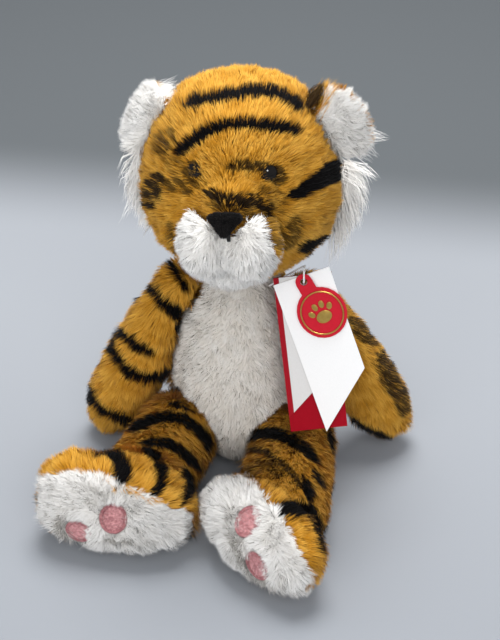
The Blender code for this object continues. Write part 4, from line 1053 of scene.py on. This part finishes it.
def make_leg(side):
    foot = FEET[side]
    inset = 3.2 * MM
    seed = {"left": 101, "right": 111}[side]
    body = f"{side}_leg"
    bands = ring_bands(foot["seam"], (0, -1, 0), 20 * MM, seed, slant=0)
    ink = Print(LEG_STROKES[side], bands=bands, seed=seed)
    nodes = (f"{side}_leg_skin", f"{side}_leg_stuffing", f"{side}_sole", f"{side}_upper_pad",
             f"{side}_lower_pad")
    seam, out = np.array(foot["seam"]), np.array(foot["out"])
    inner = RIGHT if side == "right" else -RIGHT
    leg = make_skin(f"{side}_leg_cloth", nodes, inset)
    swollen = []
    for vertex in leg.data.vertices:
        place, normal = np.array(vertex.co), np.array(vertex.normal)
        near = abs((place - seam) @ out)
        crest = ease(0.1, 0.9, normal @ UP) * ease(24 * MM, 8 * MM, near) * CREST_RISE[side]
        beside = ease(0.2, 0.9, normal @ inner) * ease(26 * MM, 12 * MM, near) * INNER_RISE[side]
        swollen.append(place + UP * crest + inner * beside)
    for vertex, place in zip(leg.data.vertices, swollen):
        vertex.co = place
    apply_modifier(leg, "SMOOTH", factor=0.5, iterations=6)
    sole = split_skin(leg, f"{side}_sole_cloth", foot["seam"], foot["out"])

    def white(points, normals, cloth_is_white):
        """The sole's white shows where it is drawn, and near the seam also on the leg's cloth."""
        near = (np.abs((points - seam) @ out) < 9 * MM) | cloth_is_white
        return drawn_white(SOLE_OUTLINES[side], points, normals, seed, cloth_is_white, near)

    dress(leg, body, "orange cloth", f"{side}_leg_skin", ink, inset,
          other=lambda p, n: white(p, n, False))
    dress(sole, body, "white cloth", f"{side}_sole", ink, inset,
          other=lambda p, n: ~white(p, n, True))

    def clear_of_seam(points, normals):
        return (np.abs((points - seam) @ out) > 0.2 * MM) * 1.0

    def short_below(points, normals):
        """The orange pile is clipped under the foot, where the sole's white pile hangs over it."""
        near = ease(16 * MM, 6 * MM, np.abs((points - seam) @ out)) * ease(15 * MM, 8 * MM, points[:, 2])
        return clear_of_seam(points, normals) * (1 - 0.7 * near)

    def full(points, normals):
        """Longer pile on the side that lies by the other leg."""
        return 1 + 0.4 * ease(0.3, 0.9, normals @ inner) * ease(-10 * MM, -45 * MM, points[:, 1])

    def pad_reach(points, which):
        """How far out from a pad's middle each point is, 1 at its rim, and how far across its fold."""
        middle, _, right, up = pad_frame(side, which)
        apart = points - middle
        turn, half = PAD_FOLDS[side, which]
        fold = up * math.cos(turn) + right * math.sin(turn)
        reach = np.hypot(apart @ right / (PAD_SHORT / 2), apart @ up / (PAD_LONG / 2))
        return reach, apart @ fold / half, fold

    def clear_of_pads(points, normals):
        """No pile on what shows of each pad, and shorter pile close round it."""
        length = clear_of_seam(points, normals)
        for which in ("upper", "lower"):
            reach, across, _ = pad_reach(points, which)
            length = length * ~((reach < 1.04) & (np.abs(across) < 1))
            length = length * (0.72 + 0.28 * ease(1.0, 1.5, reach))
        return length

    def sole_flow(points):
        """Outwards from the foot's middle, but over the pads where their folds close."""
        flow = unit(points - seam)
        for which in ("upper", "lower"):
            reach, across, fold = pad_reach(points, which)
            near = (ease(2.0, 1.6, reach) * ease(0.9, 1.0, np.abs(across)))[:, None]
            flow = flow * (1 - near) - fold * np.sign(across)[:, None] * near
        return flow

    def leg_flow(points):
        near = ease(9 * MM, 1 * MM, np.abs((points - seam) @ out))[:, None]
        flow = unit(FRONT - 0.25 * UP + 6 * (points - seam))
        return flow * (1 - near) + (unit(points - seam) - 1.0 * out) * near

    grow(f"{side}_leg_pile", leg, body, "orange", 7.6, leg_flow, per_mm2=6.2, width=0.27, lean=0.55,
         bend=0.2, tuft_share=0.28, lock_share=0.10, seed=seed, printed=ink,
         trim=lambda p, n: short_below(p, n) * full(p, n) * ~white(p, n, False))
    grow(f"{side}_instep_pile", sole, body, "orange", 6.6, leg_flow, per_mm2=6.5, width=0.27, lean=0.5,
         seed=seed + 2, printed=ink,
         trim=lambda p, n: clear_of_seam(p, n) * full(p, n) * ~white(p, n, True))
    grow(f"{side}_sole_pile", sole, body, "sole", 5.4, sole_flow, per_mm2=15.0, width=0.20,
         lean=0.42, frizz=0.38, seed=seed + 3, tuft=1.7, tuft_share=0.22, lock_share=0.10,
         trim=lambda p, n: clear_of_pads(p, n) * white(p, n, True))
    grow(f"{side}_sole_edge_pile", leg, body, "sole", 6.2, lambda p: unit(p - seam), per_mm2=8.0,
         width=0.22, lean=0.44, frizz=0.34, seed=seed + 4,
         trim=lambda p, n: clear_of_seam(p, n) * white(p, n, False))
    for number, which in enumerate(("upper", "lower")):
        make_pad(side, which, seed + 5 + number)


def make_tail():
    inset = 2.6 * MM

    def rings(points):
        """Rings along the tail, and a black tip."""
        reach = points[:, 1] + ripple(points, 30 * MM, 5) * MM
        return np.maximum(np.cos(2 * math.pi * reach / (17 * MM)), ease(94 * MM, 97 * MM, points[:, 1]))

    ink = Print([], bands=rings, seed=121)
    skin = make_skin("tail_cloth", ("tail",), inset, voxel=1.1 * MM, smoothing=14)
    dress(skin, "tail", "orange cloth", "tail", ink, inset)
    grow("tail_pile", skin, "tail", "orange", 6.2, along(0.25, 0.97, 0), per_mm2=5.0, lean=0.55, seed=121,
         printed=ink)


def make_cheek_tuft(side):
    skin = make_skin(f"{side}_cheek_cloth", (f"{side}_cheek_tuft",), 2.0 * MM, voxel=0.9 * MM, smoothing=8)
    dress(skin, "head", "white cloth", f"{side}_cheek_tuft")
    sign = 1 if side == "left" else -1
    grow(f"{side}_cheek_fluff", skin, "head", "white", 16, along(sign * 0.5, -0.1, -1), per_mm2=1.6,
         width=0.3, lean=0.7, frizz=0.3, seed=131 + sign, lock=9, lock_share=0.5)


def make_wisps():
    """The long loose hair that stands out from the cheeks and ears."""
    draw_locks("left_cheek_wisps", "head", "white", [
        (40, 2, [(345, 172), (358, 182), (368, 192)]),
        (26, 2, [(346, 165), (366, 170), (379, 180)]),
        (44, 2, [(344, 180), (352, 205), (357, 230)]),
        (44, 2, [(342, 190), (346, 220), (349, 247)]),
        (40, 2, [(338, 205), (341, 235), (341, 262)]),
        (30, 2, [(334, 220), (334, 245), (331, 266)]),
    ], seed=151)
    draw_locks("right_cheek_wisps", "head", "white", [
        (36, 2, [(152, 168), (138, 190), (124, 219)]),
        (26, 2, [(150, 162), (136, 184), (124, 205)]),
        (26, 2, [(150, 158), (138, 172), (129, 184)]),
        (30, 2, [(153, 172), (143, 192), (134, 212)]),
    ], seed=161)
    draw_locks("right_ear_fluff", "right_ear", "white", [
        (150, -6, [(150, 100), (163, 91), (176, 86)]),
        (150, -6, [(148, 108), (164, 100), (178, 95)]),
        (130, -6, [(146, 118), (160, 111), (173, 107)]),
        (110, -6, [(143, 130), (155, 126), (166, 122)]),
        (90, -6, [(138, 144), (150, 143), (158, 140)]),
    ], seed=181, spread=1.8)
    draw_locks("left_ear_wisps", "left_ear", "white", [
        (20, -4, [(352, 132), (372, 138), (389, 140)]),
        (22, -4, [(350, 140), (366, 150), (376, 160)]),
        (34, -8, [(340, 124), (322, 112), (305, 109)]),
    ], seed=171)
    draw_locks("left_ear_tuft", "left_ear", "orange", [
        (300, -4, [(310, 117), (318, 100), (330, 81)]),
        (240, -5, [(314, 119), (324, 103), (337, 82)]),
        (240, -4, [(306, 112), (312, 100), (319, 90)]),
    ], seed=191, width=0.24)
    draw_locks("left_ear_dark_tuft", "left_ear", "orange", [
        (200, -8, [(309, 105), (313, 98), (318, 91)]),
        (160, -8, [(313, 99), (318, 92), (324, 85)]),
    ], seed=193, width=0.24, ink=0.95, spread=1.1)


# Swing tag

TAG_HOLE = Vector((0.0303, -0.0232, 0.1090))
TAG_TURN = Euler((math.radians(72), 0, math.radians(8)))
SEAL_FAN = math.radians(31)
SEAL_FACE = 3.13 * MM
SEAL_MIDDLE = Vector((0, -16.0 * MM, 0))
SEAL_HALF_WIDTH = 10.75 * MM
SEAL_HALF_HEIGHT = 11.75 * MM
RING_SHARE = 0.84


def seal_place():
    """The frame of the seal's oval: its middle at the origin, its face at zero, its tab upward."""
    turn = Matrix.Translation(TAG_HOLE) @ TAG_TURN.to_matrix().to_4x4()
    middle = SEAL_MIDDLE + Vector((0, 0, SEAL_FACE))
    return turn @ Matrix.Rotation(SEAL_FAN, 4, "Z") @ Matrix.Translation(middle)


def gilt_oval(place, half_width, half_height, turn=0.0):
    """A thin oval of foil, its edge rounded."""
    bpy.ops.object.select_all(action="DESELECT")
    bpy.ops.mesh.primitive_cylinder_add(vertices=36, radius=1, depth=1)
    oval = bpy.context.active_object
    edit(oval, lambda: bpy.ops.transform.resize(value=(half_width, half_height, 0.24 * MM)))
    apply_modifier(oval, "BEVEL", width=0.08 * MM, segments=2, limit_method="ANGLE")
    oval.data.transform(Matrix.Translation((*place, 0)) @ Matrix.Rotation(turn, 4, "Z"))
    return oval


def make_gilding():
    """A ring and a paw print in gold foil on the seal's face."""
    ovals = [gilt_oval((0, -1.9 * MM), 3.5 * MM, 2.8 * MM)]
    for across, rise, turn in ((-4.3, 1.4, 0.5), (-1.6, 3.7, 0.15), (1.6, 3.7, -0.15), (4.3, 1.4, -0.5)):
        ovals.append(gilt_oval((across * MM, rise * MM), 1.2 * MM, 1.7 * MM, turn))
    bpy.ops.object.select_all(action="DESELECT")
    bpy.ops.mesh.primitive_torus_add(major_segments=96, minor_segments=8, major_radius=1, minor_radius=0.038)
    ring = bpy.context.active_object
    size = (SEAL_HALF_WIDTH * RING_SHARE, SEAL_HALF_HEIGHT * RING_SHARE, 5 * MM)
    edit(ring, lambda: bpy.ops.transform.resize(value=size))
    select_only(ring, *ovals)
    bpy.ops.object.join()
    gilding = bpy.context.view_layer.objects.active
    gilding.name = gilding.data.name = "seal_gilding"
    gilding.data.transform(seal_place())
    gilding.data.shade_smooth()
    gilding.data.materials.clear()
    gilding.data.materials.append(LOOKS["gilding"].material)
    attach(gilding, "tag_medal")


BACK_FAN = math.radians(7)
PAGE_ACROSS = TAG_TURN.to_matrix() @ Euler((0, 0, BACK_FAN)).to_matrix() @ Vector((1, 0, 0))
PAGE_EDGE = min(vertex.co @ PAGE_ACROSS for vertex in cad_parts["tag_inner_page"].data.vertices)
SPINE_WIDTH = 2.3 * MM


def make_tag():
    """Gives the tag's leaves and loop, and the inner pieces, their materials."""
    card = Look("tag_card", Roughness=0.55, Specular_IOR_Level=0.3)
    fibre = card.noise(0.7 * MM, 4.0)
    card.colour(card.blend((0.80, 0.79, 0.78), (0.86, 0.85, 0.84), fibre))
    card.bump(fibre, 0.15, 0.05 * MM)
    red = mottled("red_tag_card", (0.26, 0.001, 0.008), (0.34, 0.002, 0.012), 0.8 * MM, 4.0, Roughness=0.6,
                  Specular_IOR_Level=0.12)
    seal = mottled("seal_card", (0.46, 0.006, 0.018), (0.56, 0.009, 0.026), 1.5 * MM, 3.0, Roughness=0.5,
                   Specular_IOR_Level=0.2)
    nylon = mottled("loop_nylon", (0.7, 0.7, 0.7), (0.85, 0.85, 0.85), 2 * MM, Roughness=0.25)
    stuffing = mottled("stuffing_fibre", (0.72, 0.72, 0.70), (0.86, 0.86, 0.84), 2 * MM, Roughness=1.0)
    bag = mottled("pellet_bag_weave", (0.55, 0.53, 0.48), (0.70, 0.68, 0.62), 0.6 * MM, Roughness=0.9)
    washer = mottled("washer_plastic", (0.7, 0.7, 0.67), (0.8, 0.8, 0.77), 2 * MM, Roughness=0.5)
    page = Look("tag_page", Roughness=0.65, Specular_IOR_Level=0.2)
    fibre = page.noise(0.7 * MM, 4.0)
    across = page.node("VectorMath", {"operation": "DOT_PRODUCT"},
                       {0: page.node("TexCoord", {}, {}, "Object"), 1: tuple(PAGE_ACROSS)}, "Value")
    spine = page.node("MapRange", {}, {"Value": across, "From Min": PAGE_EDGE + SPINE_WIDTH,
                                       "From Max": PAGE_EDGE + SPINE_WIDTH + 0.2 * MM})
    # The inner page is a greyer copy of the card's paper: painted shade for the page lying in the front
    # card's shadow.
    shaded_paper = page.blend((0.60, 0.585, 0.57), (0.68, 0.665, 0.65), fibre)
    page.colour(page.blend((0.30, 0.002, 0.010), shaded_paper, spine))
    page.bump(fibre, 0.15, 0.05 * MM)
    looks = {"tag_front_card": card, "tag_inner_page": page, "tag_back_card": red, "tag_seal": seal,
             "tag_loop": nylon, "pellet_bag": bag}
    for node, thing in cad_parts.items():
        if node in looks or "stuffing" in node or "washer" in node:
            look = looks.get(node) or (stuffing if "stuffing" in node else washer)
            thing.data.materials.clear()
            thing.data.materials.append(look.material)


# Floor, lights and camera

# Each lamp's place, size, power and what it is aimed at
LAMPS = {"key": ((0.0, 0.30, 1.30), 0.8, 20.5, (0, -0.02, 0.08)),
         "fill": ((0.30, -1.1, 0.9), 1.2, 10, (0, -0.02, 0.10)),
         "side": ((-0.55, -1.2, 0.45), 0.8, 6, (0, -0.02, 0.06)),
         "glint": ((0.45, -0.9, 0.95), 0.25, 6, (0, -0.02, 0.16))}

def make_stage():
    # The floor's colour is painted light: lighter from the front towards the back, a painted falloff of the
    # studio light, and dark far behind, painted shade in place of the dim distance.
    floor_look = Look("floor_painted_falloff", Roughness=0.8, Specular_IOR_Level=0.2)
    place = floor_look.node("TexCoord", {}, {}, "Object")
    back = floor_look.node("SeparateXYZ", {}, {0: place}, "Y")
    far = floor_look.node("MapRange", {"interpolation_type": "SMOOTHSTEP"},
                          {"Value": back, "From Min": 0.17, "From Max": 0.29})
    middle = floor_look.node("MapRange", {"interpolation_type": "SMOOTHSTEP"},
                             {"Value": back, "From Min": -0.20, "From Max": 0.12})
    near_floor = floor_look.blend((0.270, 0.285, 0.309), (0.322, 0.337, 0.362), middle)
    floor_look.colour(floor_look.blend(near_floor, (0.112, 0.122, 0.129), far))
    bpy.ops.object.select_all(action="DESELECT")
    bpy.ops.mesh.primitive_plane_add(size=6)
    floor = bpy.context.active_object
    floor.name = "floor"
    floor.data.materials.append(floor_look.material)
    for name, (place, size, power, aim) in LAMPS.items():
        light = bpy.data.lights.new(name, "AREA")
        light.shape, light.size, light.energy = "DISK", size, power
        lamp = bpy.data.objects.new(name, light)
        lamp.location = place
        lamp.visible_glossy = name in ("key", "glint")
        lamp.visible_diffuse = name != "glint"
        lamp.rotation_euler = (Vector(aim) - Vector(place)).to_track_quat("-Z", "Y").to_euler()
        bpy.context.collection.objects.link(lamp)
    world = bpy.data.worlds.new("studio")
    world.use_nodes = True
    world.node_tree.nodes["Background"].inputs["Color"].default_value = (0.90, 0.94, 1.0, 1)
    world.node_tree.nodes["Background"].inputs["Strength"].default_value = 0.46
    bpy.context.scene.world = world
    bpy.context.scene.view_settings.view_transform = "Standard"
    lens = bpy.data.cameras.new("camera")
    lens.sensor_width = SENSOR_WIDTH
    lens.lens = SENSOR_WIDTH * FOCAL_PIXELS / PICTURE_HEIGHT
    lens.clip_start = 0.01
    camera = bpy.data.objects.new("camera", lens)
    camera.location, camera.rotation_euler = CAMERA_PLACE, CAMERA_TURN
    bpy.context.collection.objects.link(camera)
    bpy.context.scene.camera = camera


make_stage()
make_head()
make_muzzle()
make_nose()
make_philtrum()
make_eyes()
make_body()
for side in ("left", "right"):
    make_ear(side)
    make_arm(side)
    make_leg(side)
    make_cheek_tuft(side)
make_tail()
make_wisps()
make_tag()
make_gilding()
